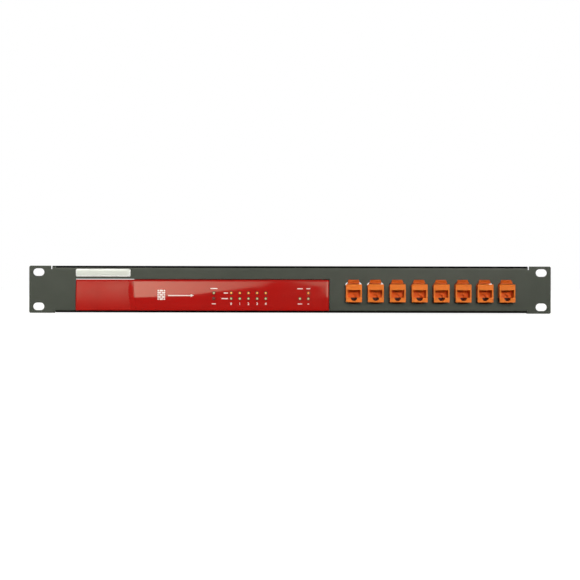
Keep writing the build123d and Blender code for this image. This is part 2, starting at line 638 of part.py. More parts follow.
def usb_ports():
    """Two stacked sockets in one shield."""
    half = USB_WIDTH / 2
    shell = block((USB_X - half, USB_X + half), (PORT_FACE - USB_DEPTH, PORT_FACE), (BOARD_TOP, BOARD_TOP + USB_HEIGHT))
    for low in (1.2, 8.9):
        shell -= block((USB_X - 6.3, USB_X + 6.3), (PORT_FACE - 15, PORT_FACE + 1),
                       (BOARD_TOP + low, BOARD_TOP + low + 5.2))
    return shell


def usb_tongues():
    tongues = [block((USB_X - 5.5, USB_X + 5.5), (PORT_FACE - 15, PORT_FACE - 1.5),
                     (BOARD_TOP + low + 2.9, BOARD_TOP + low + 4.8)) for low in (1.2, 8.9)]
    return group(tongues)


def power_jack():
    """Barrel power inlet with its centre pin."""
    body = block((POWER_X - 4.6, POWER_X + 4.6), (PORT_FACE - 14.3, CASE_REAR - CASE_SHEET - 0.1),
                 (BOARD_TOP, BOARD_TOP + 10.6))
    body += rod(4.0, POWER_X, (CASE_REAR - CASE_SHEET - 1, PORT_FACE), POWER_JACK_Z)
    body -= rod(3.1, POWER_X, (PORT_FACE - 10, PORT_FACE + 1), POWER_JACK_Z)
    pin = rod(1.05, POWER_X, (PORT_FACE - 10, PORT_FACE - 0.6), POWER_JACK_Z)
    return group([body, fillet(pin.faces().sort_by(Axis.Y)[-1].edges(), 0.5)])


RESET_TIP = CASE_REAR + 0.2
RESET_INNER = 163.0
RESET_SWITCH_FACE = RESET_INNER - RESET_TRAVEL - 0.1


def reset_button():
    stem = rod(1.4, RESET_X, (RESET_INNER, RESET_TIP), RESET_Z)
    stem = fillet(stem.faces().sort_by(Axis.Y)[-1].edges(), 0.4)
    return stem + rod(2.3, RESET_X, (CASE_REAR - CASE_SHEET - 1.3, CASE_REAR - CASE_SHEET - 0.3), RESET_Z)


def reset_switch():
    face = RESET_SWITCH_FACE
    return block((RESET_X - 3, RESET_X + 3), (face - 4.5, face), (BOARD_TOP, BOARD_TOP + 6.5))


# Power adapter


def adapter_outline():
    """The adapter's rounded block, before it is split and hollowed."""
    brick = block(ADAPTER_X, ADAPTER_Y, (FLOOR, ADAPTER_TOP))
    brick = fillet(brick.edges().filter_by(Axis.Z), ADAPTER_CORNER)
    return fillet(brick.faces().sort_by(Axis.Z)[-1].edges() + brick.faces().sort_by(Axis.Z)[0].edges(), 1.5)


ADAPTER_MIDDLE_Y = sum(ADAPTER_Y) / 2
INLET_Z = FLOOR + 15.0


def inlet_body():
    """Outline of the two-pin mains inlet at the adapter's left end."""
    return Pos(ADAPTER_MIDDLE_Y, INLET_Z) * RectangleRounded(20.0, 13.0, 2.0)


def adapter_case(low, high):
    """One of the adapter's two shells, between two heights."""
    x, y = ADAPTER_X, ADAPTER_Y
    band = block((x[0] - 1, x[1] + 1), (y[0] - 1, y[1] + 1), (low, high))
    inner = block((x[0] + ADAPTER_WALL, x[1] - ADAPTER_WALL), (y[0] + ADAPTER_WALL, y[1] - ADAPTER_WALL),
                  (FLOOR + ADAPTER_WALL, ADAPTER_TOP - ADAPTER_WALL))
    shell = (adapter_outline() - inner) & band
    shell -= across(inlet_body(), (x[0] - 1, x[0] + 5))
    return shell - rod(3.0, (x[1] - 4, x[1] + 1), ADAPTER_MIDDLE_Y, ADAPTER_SEAM, "x")


def adapter_inlet():
    x = ADAPTER_X[0]
    body = across(inlet_body(), (x, x + 18))
    cavity = Pos(ADAPTER_MIDDLE_Y, INLET_Z) * SlotOverall(14.6, 8.0)
    return body - across(cavity, (x - 1, x + 12))


def adapter_inlet_pins():
    x = ADAPTER_X[0]
    return group([rod(1.2, (x + 1.5, x + 12), ADAPTER_MIDDLE_Y + dy, INLET_Z, "x") for dy in (-4.3, 4.3)])


def adapter_outlet():
    """Bush in the adapter's right end that the low-voltage lead leaves through."""
    x = ADAPTER_X[1]
    bush = rod(3.0, (x - ADAPTER_WALL, x), ADAPTER_MIDDLE_Y, ADAPTER_SEAM, "x")
    bush += rod(4.2, (x, x + 1.2), ADAPTER_MIDDLE_Y, ADAPTER_SEAM, "x")
    bush += rod(4.2, (x - ADAPTER_WALL - 1.5, x - ADAPTER_WALL), ADAPTER_MIDDLE_Y, ADAPTER_SEAM, "x")
    return bush - rod(1.9, (x - 5, x + 2), ADAPTER_MIDDLE_Y, ADAPTER_SEAM, "x")


ADAPTER_BOARD_TOP = FLOOR + 7.0


def adapter_board():
    return block((ADAPTER_X[0] + 20, ADAPTER_X[1] - 5), (ADAPTER_Y[0] + 4, ADAPTER_Y[1] - 4),
                 (ADAPTER_BOARD_TOP - 1.6, ADAPTER_BOARD_TOP))


def adapter_transformer():
    """Ferrite core with its winding."""
    x, y, z = ADAPTER_X[0] + 56, ADAPTER_MIDDLE_Y, ADAPTER_BOARD_TOP
    core = block((x - 12, x + 12), (y - 12, y + 12), (z, z + 17))
    core -= block((x - 8, x + 8), (y - 13, y + 13), (z + 3, z + 14))
    core += block((x - 3, x + 3), (y - 6, y + 6), (z + 3, z + 14))
    return core


def adapter_winding():
    x, y, z = ADAPTER_X[0] + 56, ADAPTER_MIDDLE_Y, ADAPTER_BOARD_TOP
    winding = block((x - 7.5, x + 7.5), (y - 13, y + 13), (z + 3.2, z + 13.8))
    return winding - block((x - 3, x + 3), (y - 6, y + 6), (z + 3, z + 14))


def adapter_capacitors():
    z = ADAPTER_BOARD_TOP
    cans = [rod(7.5, ADAPTER_X[0] + 32, ADAPTER_MIDDLE_Y - 8, (z, z + 18), "z")]
    cans += [rod(4.0, ADAPTER_X[0] + 76, ADAPTER_MIDDLE_Y + dy, (z, z + 14), "z") for dy in (-12, 0, 12)]
    return group(cans)


def build():
    os.makedirs("parts", exist_ok=True)
    save("rack_tray", rack_tray())
    save("badge_plate", badge_plate())
    save("rear_clamp_bar", rear_clamp_bar())
    save("clamp_pad", clamp_pad())
    save("adapter_strap", adapter_strap())
    save("thumb_screws", thumb_screws())

    all_wires = []
    for number, x in enumerate(COUPLER_X, start=1):
        wires = coupler_contacts(x)
        all_wires += wires
        save(f"coupler_housing_{number}", coupler_housing(x, wires))
        save(f"coupler_latch_{number}", coupler_latch(x))
    save("coupler_contacts", group(all_wires))
    save("coupler_rear_shells", group([coupler_rear_shell(x) for x in COUPLER_X]))

    jack_wire_sets = {x: jack_wires(x) for x in ETHERNET_X + [CONSOLE_X]}
    save("ethernet_jacks", group([jack(x, jack_wire_sets[x]) for x in ETHERNET_X]))
    save("console_jack", jack(CONSOLE_X, jack_wire_sets[CONSOLE_X]))
    save("jack_contacts", group([wire for wires in jack_wire_sets.values() for wire in wires]))

    pieces = [
        case_base, case_cover, cover_screws, front_bezel, light_pipes, light_board, status_lamps, main_board,
        board_standoffs, board_screws, processor, thermal_pad, heat_sink, memory_chips, lan_magnetics, capacitors,
        inductors, coin_cell, coin_cell_holder, usb_ports, usb_tongues, power_jack, reset_button, reset_switch,
        adapter_inlet, adapter_inlet_pins, adapter_outlet, adapter_board, adapter_transformer, adapter_winding,
        adapter_capacitors,
    ]
    for piece in pieces:
        save(piece.__name__, piece())
    save("adapter_case_lower", adapter_case(FLOOR, ADAPTER_SEAM))
    save("adapter_case_upper", adapter_case(ADAPTER_SEAM, ADAPTER_TOP))


build()
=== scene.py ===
"""Finishes for a rack-mounted firewall appliance, laid out as a Blender add-on and run as a script.

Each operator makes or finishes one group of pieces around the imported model, which stays where it is.
Sizes are in metres in the model's own frame: X along the front panel, Y into the rack, Z up.
"""

import math

import bmesh
import bpy
from bpy.props import FloatProperty, FloatVectorProperty, PointerProperty
from mathutils import Matrix, Vector


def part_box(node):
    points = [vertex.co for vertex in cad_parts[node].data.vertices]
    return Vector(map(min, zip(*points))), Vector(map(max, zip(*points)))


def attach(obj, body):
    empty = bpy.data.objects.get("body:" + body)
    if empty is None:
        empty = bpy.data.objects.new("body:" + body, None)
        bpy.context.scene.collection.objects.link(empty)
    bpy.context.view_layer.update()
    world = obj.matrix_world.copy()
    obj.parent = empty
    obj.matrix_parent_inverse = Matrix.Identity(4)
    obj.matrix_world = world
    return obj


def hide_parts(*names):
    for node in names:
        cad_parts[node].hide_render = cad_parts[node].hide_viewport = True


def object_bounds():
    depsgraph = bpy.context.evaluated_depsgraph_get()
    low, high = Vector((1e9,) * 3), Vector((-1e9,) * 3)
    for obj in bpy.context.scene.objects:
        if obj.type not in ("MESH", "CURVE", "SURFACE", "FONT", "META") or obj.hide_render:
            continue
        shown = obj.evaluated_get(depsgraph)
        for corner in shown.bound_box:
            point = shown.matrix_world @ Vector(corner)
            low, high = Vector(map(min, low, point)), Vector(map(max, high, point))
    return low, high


bl_info = {
    "name": "Rack Firewall Finishes",
    "version": (1, 0, 0),
    "blender": (4, 5, 0),
    "location": "3D View > Sidebar > Firewall",
    "description": "Moulds, coats and lights a rack-mounted firewall appliance",
    "category": "Object",
}

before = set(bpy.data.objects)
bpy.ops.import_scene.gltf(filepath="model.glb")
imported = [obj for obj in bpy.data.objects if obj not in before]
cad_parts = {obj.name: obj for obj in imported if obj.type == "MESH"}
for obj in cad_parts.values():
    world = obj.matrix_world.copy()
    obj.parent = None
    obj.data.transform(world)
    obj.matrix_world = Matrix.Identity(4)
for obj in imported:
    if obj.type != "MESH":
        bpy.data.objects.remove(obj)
CAD_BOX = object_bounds()

MM = 0.001
CHASSIS = "chassis"
COUPLER_NUMBERS = range(1, 9)
BEZEL_LOW, BEZEL_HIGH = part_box("front_bezel")
PANEL_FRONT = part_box("rack_tray")[0].y
BEZEL_BULGE_Z = -14.0 * MM
BEZEL_CROWN = 82.0 * MM
BADGE_CORNER = 1.4 * MM
RIDGE_RADIUS = 0.16 * MM
PIPE_RADIUS = 1.0 * MM
SOCKET_HALF = 5.93 * MM
SOCKET_HEIGHT = 6.9 * MM
SOCKET_FLOOR = -7.17 * MM

# Where the painted shade along the panel's top and bottom folds ends, and how wide each band is
FOLD_LEFT, FOLD_RIGHT = -0.2167, 0.2198
TOP_FOLD, BOTTOM_FOLD = 1.95 * MM, 2.1 * MM
FOLD_SHADE_BLACK = (0.002, 0.002, 0.0015)

WARM_GLOSS = (1.0, 0.96, 0.80, 1.0)
LAMP_COLOUR = (1.0, 0.985, 0.88)

# The two front softboxes, as outlines of X and Z whose inner edges lean together
SHEET_Y = -1.42
LEFT_SHEET = ((-0.75, 0.19), (-0.315, 0.215), (-0.27, 0.24), (-0.208, 0.305), (-0.127, 0.485), (-0.077, 0.62),
              (-0.058, 0.72), (-0.046, 0.86), (-0.035, 1.0), (-0.75, 1.0))
RIGHT_SHEET = ((0.085, 0.25), (0.6, 0.2), (0.6, 1.0), (-0.01, 1.0), (0.005, 0.93), (0.03, 0.76),
               (0.046, 0.68), (0.069, 0.655), (0.077, 0.50))


def colour(name, description, default):
    return FloatVectorProperty(name=name, description=description, default=default,
                               subtype="COLOR", min=0.0, max=1.0, size=3)


def length(name, description, default):
    return FloatProperty(name=name, description=description, default=default, unit="LENGTH", min=0.0)


def radiance(name, description, default):
    return FloatProperty(name=name, description=f"Radiance of the {description}", default=default, min=0.0)


class PaintSettings(bpy.types.PropertyGroup):
    """Colours of the painted and moulded parts."""

    tray: colour("Tray", "Powder coat on the tray and its brackets", (0.0470, 0.0545, 0.0455))
    bezel: colour("Bezel", "Polished red front of the firewall", (0.375, 0.0055, 0.0045))
    cap: colour("End cap", "Satin red cap at the left end of the front", (0.375, 0.0075, 0.0055))
    case: colour("Case cover", "Satin red paint on the case cover", (0.30, 0.010, 0.008))
    base: colour("Case base", "Dark paint on the case base", (0.035, 0.036, 0.038))
    coupler: colour("Couplers", "Orange plastic of the couplers", (0.74, 0.165, 0.013))
    # A darker copy of the coupler orange: painted shade on the latches' up-tilted faces
    latch: colour("Latches", "Deeper orange plastic of the couplers' latches", (0.55, 0.088, 0.006))
    badge: colour("Badge", "Pale face of the badge plate", (0.66, 0.69, 0.67))


class BezelSettings(bpy.types.PropertyGroup):
    """Shape of the firewall's front."""

    edge: length("Edge", "Rounding of the front's four edges", 0.0011)
    step_x: length("Step", "Distance of the slanted step from the left end", 0.0528)
    slope_width: length("Slope", "Width of the slope that runs down to the step", 0.0052)
    step_depth: length("Step depth", "Depth of the step", 0.0006)
    wall: length("Wall", "Thickness of the moulding", 0.0022)


class StudioSettings(bpy.types.PropertyGroup):
    """Camera and lights."""

    distance: length("Camera distance", "From the panel's front to the camera", 1.15)
    view_width: length("View width", "Width of the view at the panel", 0.5367)
    tilt: FloatProperty(name="Tilt", description="Roll of the camera in degrees", default=-0.11)
    key_glow: radiance("Key glow", "front softboxes", 5.2)
    fill_glow: radiance("Fill glow", "front fill", 50.0)
    side_glow: radiance("Side glow", "side softboxes", 1.0)
    dim: radiance("Room", "room around the object", 0.12)


# Mesh helpers


def add_piece(name, bm, material, body=CHASSIS, smooth_angle=35.0):
    """Turns a bmesh in the model's frame into a piece that rides on a body."""
    bmesh.ops.recalc_face_normals(bm, faces=bm.faces)
    mesh = bpy.data.meshes.new(name)
    bm.to_mesh(mesh)
    bm.free()
    piece = bpy.data.objects.new(name, mesh)
    bpy.context.scene.collection.objects.link(piece)
    mesh.materials.append(material)
    mesh.shade_smooth()
    mesh.set_sharp_from_angle(angle=math.radians(smooth_angle))
    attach(piece, body)
    return piece


def dress(material, *nodes):
    """Gives nodes of the model their finish."""
    for node in nodes:
        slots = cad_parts[node].data.materials
        slots.clear()
        slots.append(material)


def join_rings(bm, rings):
    """Faces between closed rings of vertices, each as long as the others."""
    for near, far in zip(rings, rings[1:]):
        for i in range(len(near)):
            j = (i + 1) % len(near)
            bm.faces.new((near[i], near[j], far[j], far[i]))


def join_loops(bm, loops, close_first=True, close_last=True):
    """Faces between closed loops of points, with flat ends."""
    rings = [[bm.verts.new(point) for point in loop] for loop in loops]
    join_rings(bm, rings)
    if close_first:
        bm.faces.new(rings[0][::-1])
    if close_last:
        bm.faces.new(rings[-1])


def rounded_outline(width, height, radius, steps=6):
    """Points of a rounded rectangle about the origin, as pairs."""
    points = []
    corners = ((1, 1, 0), (-1, 1, 90), (-1, -1, 180), (1, -1, 270))
    for sx, sy, start in corners:
        for i in range(steps + 1):
            angle = math.radians(start + 90 * i / steps)
            points.append((sx * (width / 2 - radius) + radius * math.cos(angle),
                           sy * (height / 2 - radius) + radius * math.sin(angle)))
    return points


def add_box(bm, low, high):
    """A box between two corners."""
    size = Vector(high) - Vector(low)
    middle = (Vector(high) + Vector(low)) / 2
    matrix = Matrix.Translation(middle) @ Matrix.Diagonal((*size, 1))
    bmesh.ops.create_cube(bm, size=1.0, matrix=matrix)


def soften(bm, width):
    """Rounds every edge of a simple solid."""
    sharp = [e for e in bm.edges if len(e.link_faces) == 2 and e.calc_face_angle() > math.radians(30)]
    bmesh.ops.bevel(bm, geom=sharp, offset=width, segments=2, profile=0.5, affect="EDGES")


def ring_angles(count):
    """Angles of points evenly spaced round a circle."""
    return [2 * math.pi * i / count for i in range(count)]


def turned(bm, centre, profile, axis="Z", teeth=0, tooth=0.0, steps=32):
    """A turned solid, from pairs of radius and distance along the axis; teeth knurl its widest part."""
    widest = max(radius for radius, _ in profile)
    count = teeth * 4 if teeth else steps
    loops = []
    for radius, along in profile:
        loop = []
        for i, angle in enumerate(ring_angles(count)):
            reach = radius
            if teeth and radius > widest * 0.97:
                reach -= tooth * (1, 0.3, 0, 0.3)[i % 4]
            across, up = reach * math.cos(angle), reach * math.sin(angle)
            point = (across, along, up) if axis == "Y" else (across, up, along)
            loop.append(Vector(centre) + Vector(point))
        loops.append(loop)
    join_loops(bm, loops)


def islands(node):
    """The separate solids of a node, each as its lowest and highest corners."""
    bm = bmesh.new()
    bm.from_mesh(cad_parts[node].data)
    bmesh.ops.remove_doubles(bm, verts=bm.verts, dist=1e-6)
    left = set(bm.verts)
    boxes = []
    while left:
        stack = [left.pop()]
        found = list(stack)
        while stack:
            for edge in stack.pop().link_edges:
                for vert in edge.verts:
                    if vert in left:
                        left.remove(vert)
                        stack.append(vert)
                        found.append(vert)
        corners = [[pick(v.co[k] for v in found) for k in range(3)] for pick in (min, max)]
        boxes.append((Vector(corners[0]), Vector(corners[1])))
    bm.free()
    return sorted(boxes, key=lambda b: (round(b[0].x, 4), round(b[0].z, 4), round(b[0].y, 4)))


# Materials


class Finish:
    """A procedural material, built up from patterns in the model's own coordinates."""

    def __init__(self, name, base, roughness, metallic=0.0, **sockets):
        self.material = bpy.data.materials.new(name)
        self.material.use_nodes = True
        self.tree = self.material.node_tree
        self.shader = self.tree.nodes["Principled BSDF"]
        self.base = tuple(base)
        self.shader.inputs["Base Color"].default_value = (*self.base, 1.0)
        self.shader.inputs["Roughness"].default_value = roughness
        self.shader.inputs["Metallic"].default_value = metallic
        for socket, value in sockets.items():
            self.shader.inputs[socket.replace("_", " ").title().replace("Ior", "IOR")].default_value = value
        self.place = self.node("ShaderNodeTexCoord").outputs["Object"]
        self.normal = None
        self.tint = None

    def node(self, kind, **settings):
        made = self.tree.nodes.new(kind)
        for key, value in settings.items():
            setattr(made, key, value)
        return made

    def link(self, source, target):
        self.tree.links.new(source, target)

    def stretched(self, scale):
        """Coordinates stretched along the axes, for brushed and drawn metal."""
        mapping = self.node("ShaderNodeMapping")
        mapping.inputs["Scale"].default_value = scale
        self.link(self.place, mapping.inputs["Vector"])
        return mapping.outputs["Vector"]

    def noise(self, size, detail=2.0, place=None):
        """Cloudy pattern from 0 to 1 whose features are about that size in metres."""
        noise = self.node("ShaderNodeTexNoise")
        noise.inputs["Scale"].default_value = 1.0 / size
        noise.inputs["Detail"].default_value = detail
        self.link(place or self.place, noise.inputs["Vector"])
        return noise.outputs["Fac"]

    def cells(self, size, metric="EUCLIDEAN"):
        """Distance to the nearest cell point."""
        cells = self.node("ShaderNodeTexVoronoi", distance=metric)
        cells.inputs["Scale"].default_value = 1.0 / size
        self.link(self.place, cells.inputs["Vector"])
        return cells.outputs["Distance"]

    def spread(self, value, low, high, to_low, to_high):
        """A pattern's range mapped to another, clamped."""
        spread = self.node("ShaderNodeMapRange")
        for socket, number in zip(("From Min", "From Max", "To Min", "To Max"), (low, high, to_low, to_high)):
            spread.inputs[socket].default_value = number
        self.link(value, spread.inputs["Value"])
        return spread.outputs["Result"]

    def paint(self, mask, other):
        """Another colour where the mask is 1."""
        mix = self.node("ShaderNodeMix", data_type="RGBA")
        if self.tint is None:
            mix.inputs["A"].default_value = (*self.base, 1.0)
        else:
            self.link(self.tint, mix.inputs["A"])
        mix.inputs["B"].default_value = (*other, 1.0)
        self.link(mask, mix.inputs["Factor"])
        self.tint = mix.outputs["Result"]
        self.link(self.tint, self.shader.inputs["Base Color"])
        return self

    def mottled(self, size, amount):
        """Slight cloudiness in the colour."""
        darker = tuple(c * (1.0 - amount) for c in self.base)
        return self.paint(self.spread(self.noise(size, 4.0), 0.35, 0.65, 0.0, 1.0), darker)

    def smudged(self, size, low, high):
        """Roughness that drifts between two values."""
        drift = self.spread(self.noise(size, 3.0), 0.35, 0.65, low, high)
        self.link(drift, self.shader.inputs["Roughness"])
        return self

    def above(self, axis, level, soft):
        """1 beyond a level on an axis and 0 before it, or the other way round where soft is negative."""
        split = self.node("ShaderNodeSeparateXYZ")
        self.link(self.place, split.inputs["Vector"])
        return self.spread(split.outputs[axis], level - soft, level + soft, 0.0, 1.0)

    def blend(self, operation, first, second):
        """Two masks combined."""
        blend = self.node("ShaderNodeMath", operation=operation)
        self.link(first, blend.inputs[0])
        self.link(second, blend.inputs[1])
        return blend.outputs["Value"]

    def rough_where(self, mask, low, high):
        """Roughness that follows a mask."""
        self.link(self.spread(mask, 0.0, 1.0, low, high), self.shader.inputs["Roughness"])
        return self

    def rounded(self, radius):
        """Light catches the edges as if they were slightly rounded."""
        bevel = self.node("ShaderNodeBevel", samples=4)
        bevel.inputs["Radius"].default_value = radius
        self.normal = bevel.outputs["Normal"]
        self.link(self.normal, self.shader.inputs["Normal"])
        return self

    def worn(self, radius, other, strength=0.6):
        """A lighter line where edges rub bare, found from how far a rounded edge's normal leans."""
        bevel = self.node("ShaderNodeBevel", samples=4)
        bevel.inputs["Radius"].default_value = radius
        lean = self.node("ShaderNodeVectorMath", operation="DOT_PRODUCT")
        self.link(bevel.outputs["Normal"], lean.inputs[0])
        self.link(self.node("ShaderNodeNewGeometry").outputs["Normal"], lean.inputs[1])
        edge = self.spread(lean.outputs["Value"], 0.97, 0.80, 0.0, strength)
        patchy = self.blend("MULTIPLY", edge, self.spread(self.noise(0.004, 5.0), 0.45, 0.62, 0.0, 1.0))
        return self.paint(patchy, other)

    def bumped(self, pattern, depth):
        """Relief of that depth in metres from a pattern."""
        bump = self.node("ShaderNodeBump")
        bump.inputs["Strength"].default_value = 1.0
        bump.inputs["Distance"].default_value = depth
        self.link(pattern, bump.inputs["Height"])
        if self.normal is not None:
            self.link(self.normal, bump.inputs["Normal"])
        self.normal = bump.outputs["Normal"]
        self.link(self.normal, self.shader.inputs["Normal"])
        return self


def powder_coat(painted_fold_shade=False):
    """Dark satin powder coat with a fine orange-peel texture and rubbed edges; where asked, the front's folds
    get near-black painted shade, standing in for the dark the bends reflect."""
    name = "powder coat with painted fold shade" if painted_fold_shade else "powder coat"
    paint = Finish(name, bpy.context.scene.firewall_paint.tray, 0.33)
    paint.mottled(0.02, 0.12).worn(0.0004, (0.16, 0.16, 0.15), 0.5)
    if painted_fold_shade:
        # Painted shade: near-black bands along the front's top and bottom folds, whose metal mask also takes
        # away nearly all their gloss
        low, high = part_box("rack_tray")
        fold = paint.above("Z", high.z - TOP_FOLD, 0.15 * MM)
        foot = paint.above("Z", low.z + BOTTOM_FOLD, -0.7 * MM)
        either = paint.blend("MAXIMUM", fold, foot)
        past_left = paint.above("X", FOLD_LEFT, 0.1 * MM)
        before_right = paint.above("X", FOLD_RIGHT, -0.1 * MM)
        between = paint.blend("MULTIPLY", past_left, before_right)
        front = paint.blend("MULTIPLY", between, paint.above("Y", 1.0 * MM, -0.5 * MM))
        dark = paint.blend("MULTIPLY", either, front)
        paint.paint(dark, FOLD_SHADE_BLACK).link(dark, paint.shader.inputs["Metallic"])
    paint.smudged(0.03, 0.30, 0.36).rounded(0.0003)
    paint.bumped(paint.noise(0.0006, 3.0), 0.000005)
    return paint.material


def polished_red():
    """Deep red polished plastic with faint waviness and a trace of dust."""
    red = Finish("polished red", bpy.context.scene.firewall_paint.bezel, 0.06, specular_tint=WARM_GLOSS)
    dust = red.spread(red.noise(0.00035, 2.0), 0.74, 0.80, 0.0, 0.2)
    red.mottled(0.03, 0.06).smudged(0.012, 0.05, 0.09).paint(dust, (0.5, 0.2, 0.16))
    red.bumped(red.noise(0.02, 2.0), 0.00001)
    return red.material


def satin_red():
    """The same red with a satin surface."""
    red = Finish("satin red", bpy.context.scene.firewall_paint.cap, 0.34, specular_ior_level=0.28,
                 specular_tint=WARM_GLOSS)
    red.mottled(0.012, 0.10).smudged(0.010, 0.30, 0.38).bumped(red.noise(0.0007, 2.0), 0.000006)
    return red.material


def satin_paint(name, base):
    """Satin paint on sheet steel."""
    paint = Finish(name, base, 0.38)
    paint.mottled(0.03, 0.10).worn(0.0003, (0.45, 0.43, 0.42), 0.45)
    paint.smudged(0.02, 0.37, 0.41).rounded(0.00025)
    paint.bumped(paint.noise(0.0009, 3.0), 0.000012)
    return paint.material


def orange_plastic(name, base, mouth=None):
    """Semi-gloss moulded plastic; given a mouth, sockets get painted light on their back walls and painted
    shade below their floor.
    """
    orange = Finish(name, base, 0.42, specular_ior_level=0.35, subsurface_weight=0.06,
                    subsurface_scale=0.0006)
    orange.mottled(0.006, 0.07)
    if mouth is not None:
        inside = orange.above("Y", mouth + 0.35 * MM, 0.15 * MM)
        deep = orange.above("Y", mouth + 7 * MM, 6 * MM)
        notch_shade = orange.above("Z", SOCKET_FLOOR, -0.1 * MM)
        # Painted light: a brighter red-orange from about 1 mm behind the mouth, standing in for light on the
        # sockets' back walls
        orange.paint(deep, (0.95, 0.150, 0.020))
        # Painted shade: near black below the sockets' floor, from just behind the mouth, for the dark clip
        # notches
        orange.paint(orange.blend("MULTIPLY", inside, notch_shade), (0.05, 0.006, 0.001))
    orange.smudged(0.004, 0.36, 0.48).rounded(0.00022).bumped(orange.noise(0.0005, 2.0), 0.000008)
    return orange.material


def moulded_black(name, base, grain=0.0007, depth=0.00003, roughness=(0.42, 0.56)):
    """Black plastic with a spark-eroded texture."""
    black = Finish(name, base, 0.5)
    black.mottled(0.01, 0.2).smudged(0.008, *roughness).rounded(0.0003)
    black.bumped(black.cells(grain), depth)
    return black.material


def soft_foam(name, base):
    """Closed-cell foam or rubber with fine pores, each darkened towards its middle as painted shade."""
    foam = Finish(name, base, 0.9, sheen_weight=0.15)
    pores = foam.spread(foam.cells(0.0009), 0.0, 0.35, 0.0, 1.0)
    # Painted shade: each pore is darkened towards its middle, where the bump sinks it into a pit
    foam.paint(foam.spread(foam.cells(0.0009), 0.30, 0.12, 0.0, 0.7), tuple(c * 0.3 for c in base))
    foam.smudged(0.01, 0.82, 0.95).bumped(pores, 0.0002)
    return foam.material


def drawn_metal(name, base, roughness, along=(1.0, 14.0, 14.0), size=0.0016, depth=0.000006):
    """Metal with fine lines left by rolling, turning or brushing."""
    metal = Finish(name, base, roughness, 1.0)
    lines = metal.noise(size, 3.0, metal.stretched(along))
    metal.mottled(0.006, 0.14).rounded(0.00015)
    metal.rough_where(lines, roughness * 0.75, roughness * 1.35).bumped(lines, depth)
    return metal.material


def circuit_green():
    """Solder mask with tracks under it, gold pads and small holes."""
    board = Finish("circuit green", (0.008, 0.085, 0.032), 0.3, coat_weight=0.4, coat_roughness=0.12)
    tracks = board.spread(board.cells(0.0055, "CHEBYCHEV"), 0.46, 0.50, 0.0, 1.0)
    lanes = board.spread(board.noise(0.0013, 0.0, board.stretched((1.0, 0.08, 1.0))), 0.52, 0.56, 0.0, 0.8)
    pads = board.spread(board.cells(0.0042), 0.15, 0.12, 0.0, 1.0)
    board.paint(tracks, (0.02, 0.17, 0.07)).paint(lanes, (0.018, 0.14, 0.055))
    board.paint(pads, (0.62, 0.45, 0.14))
    board.smudged(0.01, 0.26, 0.38).bumped(lanes, 0.00003)
    return board.material


def chip_resin():
    """Matte black moulding compound with a fine laser-marked grain."""
    chip = Finish("chip resin", (0.018, 0.018, 0.019), 0.6)
    chip.mottled(0.002, 0.25).smudged(0.003, 0.5, 0.68).rounded(0.0001)
    chip.bumped(chip.noise(0.0003, 2.0), 0.00001)
    return chip.material


def clear_lens(name, base, glow):
    """Tinted lens lit from behind, brighter towards the middle of each grain."""
    lens = Finish(name, base, 0.14, coat_weight=0.5, emission_color=(*base, 1.0), emission_strength=glow)
    lens.mottled(0.0012, 0.12).smudged(0.002, 0.10, 0.20).bumped(lens.noise(0.0008, 1.0), 0.00002)
    return lens.material


def printed_white():
    """White screen-printed ink with uneven cover."""
    ink = Finish("printed ink", (0.86, 0.78, 0.79), 0.5)
    ink.mottled(0.0008, 0.2).smudged(0.001, 0.42, 0.6).bumped(ink.noise(0.0003, 2.0), 0.000006)
    return ink.material


def badge_finish(name, base):
    """Silvery printed face under clear resin."""
    face = Finish(name, base, 0.35, 0.12, coat_weight=0.8, coat_roughness=0.08)
    lines = face.noise(0.0006, 2.0, face.stretched((0.05, 1.0, 1.0)))
    face.paint(face.spread(lines, 0.3, 0.7, 0.0, 0.25), tuple(c * 0.8 for c in base))
    face.smudged(0.008, 0.28, 0.42).bumped(face.noise(0.004, 1.0), 0.00002)
    return face.material


# The firewall's front


def bezel_face(z):
    """Where the crowned front is along Y at a height."""
    return BEZEL_LOW.y + BEZEL_CROWN - math.sqrt(BEZEL_CROWN**2 - (z - BEZEL_BULGE_Z) ** 2)


def bezel_lean(z):
    """How far the front leans back at a height, as an angle."""
    return math.asin((z - BEZEL_BULGE_Z) / BEZEL_CROWN)


def rounding(distance, radius):
    """How far a rounded edge falls back at a distance inside it."""
    if distance >= radius:
        return 0.0
    return radius - math.sqrt(max(radius**2 - (radius - distance) ** 2, 0.0))


def spaced(low, high, step, fine_zones):
    """Places from low to high, closer together within the fine zones, which are (start, end, step)."""
    places = [low]
    while places[-1] < high - 1e-7:
        here = places[-1]
        pace = min([zone[2] for zone in fine_zones if zone[0] - 1e-7 <= here < zone[1]] + [step])
        places.append(min(here + pace, high))
    return places


def cap_end(z, bezel):
    """Where the end cap stops and the slope down to the step starts, further out towards the foot."""
    height = (z - BEZEL_LOW.z) / (BEZEL_HIGH.z - BEZEL_LOW.z)
    return BEZEL_LOW.x + bezel.step_x - bezel.slope_width + 0.0031 * (1.0 - height) ** 1.2


def slope_shape(past_cap, bezel):
    """Depth of the slope at a distance past the end cap: it leans evenly, then steps back up at once."""
    if past_cap < bezel.slope_width:
        share = past_cap / bezel.slope_width
        return bezel.step_depth * share * (0.75 + 0.25 * share)
    back_up = (past_cap - bezel.slope_width) / (0.22 * MM)
    return bezel.step_depth * max(0.0, 1.0 - back_up)


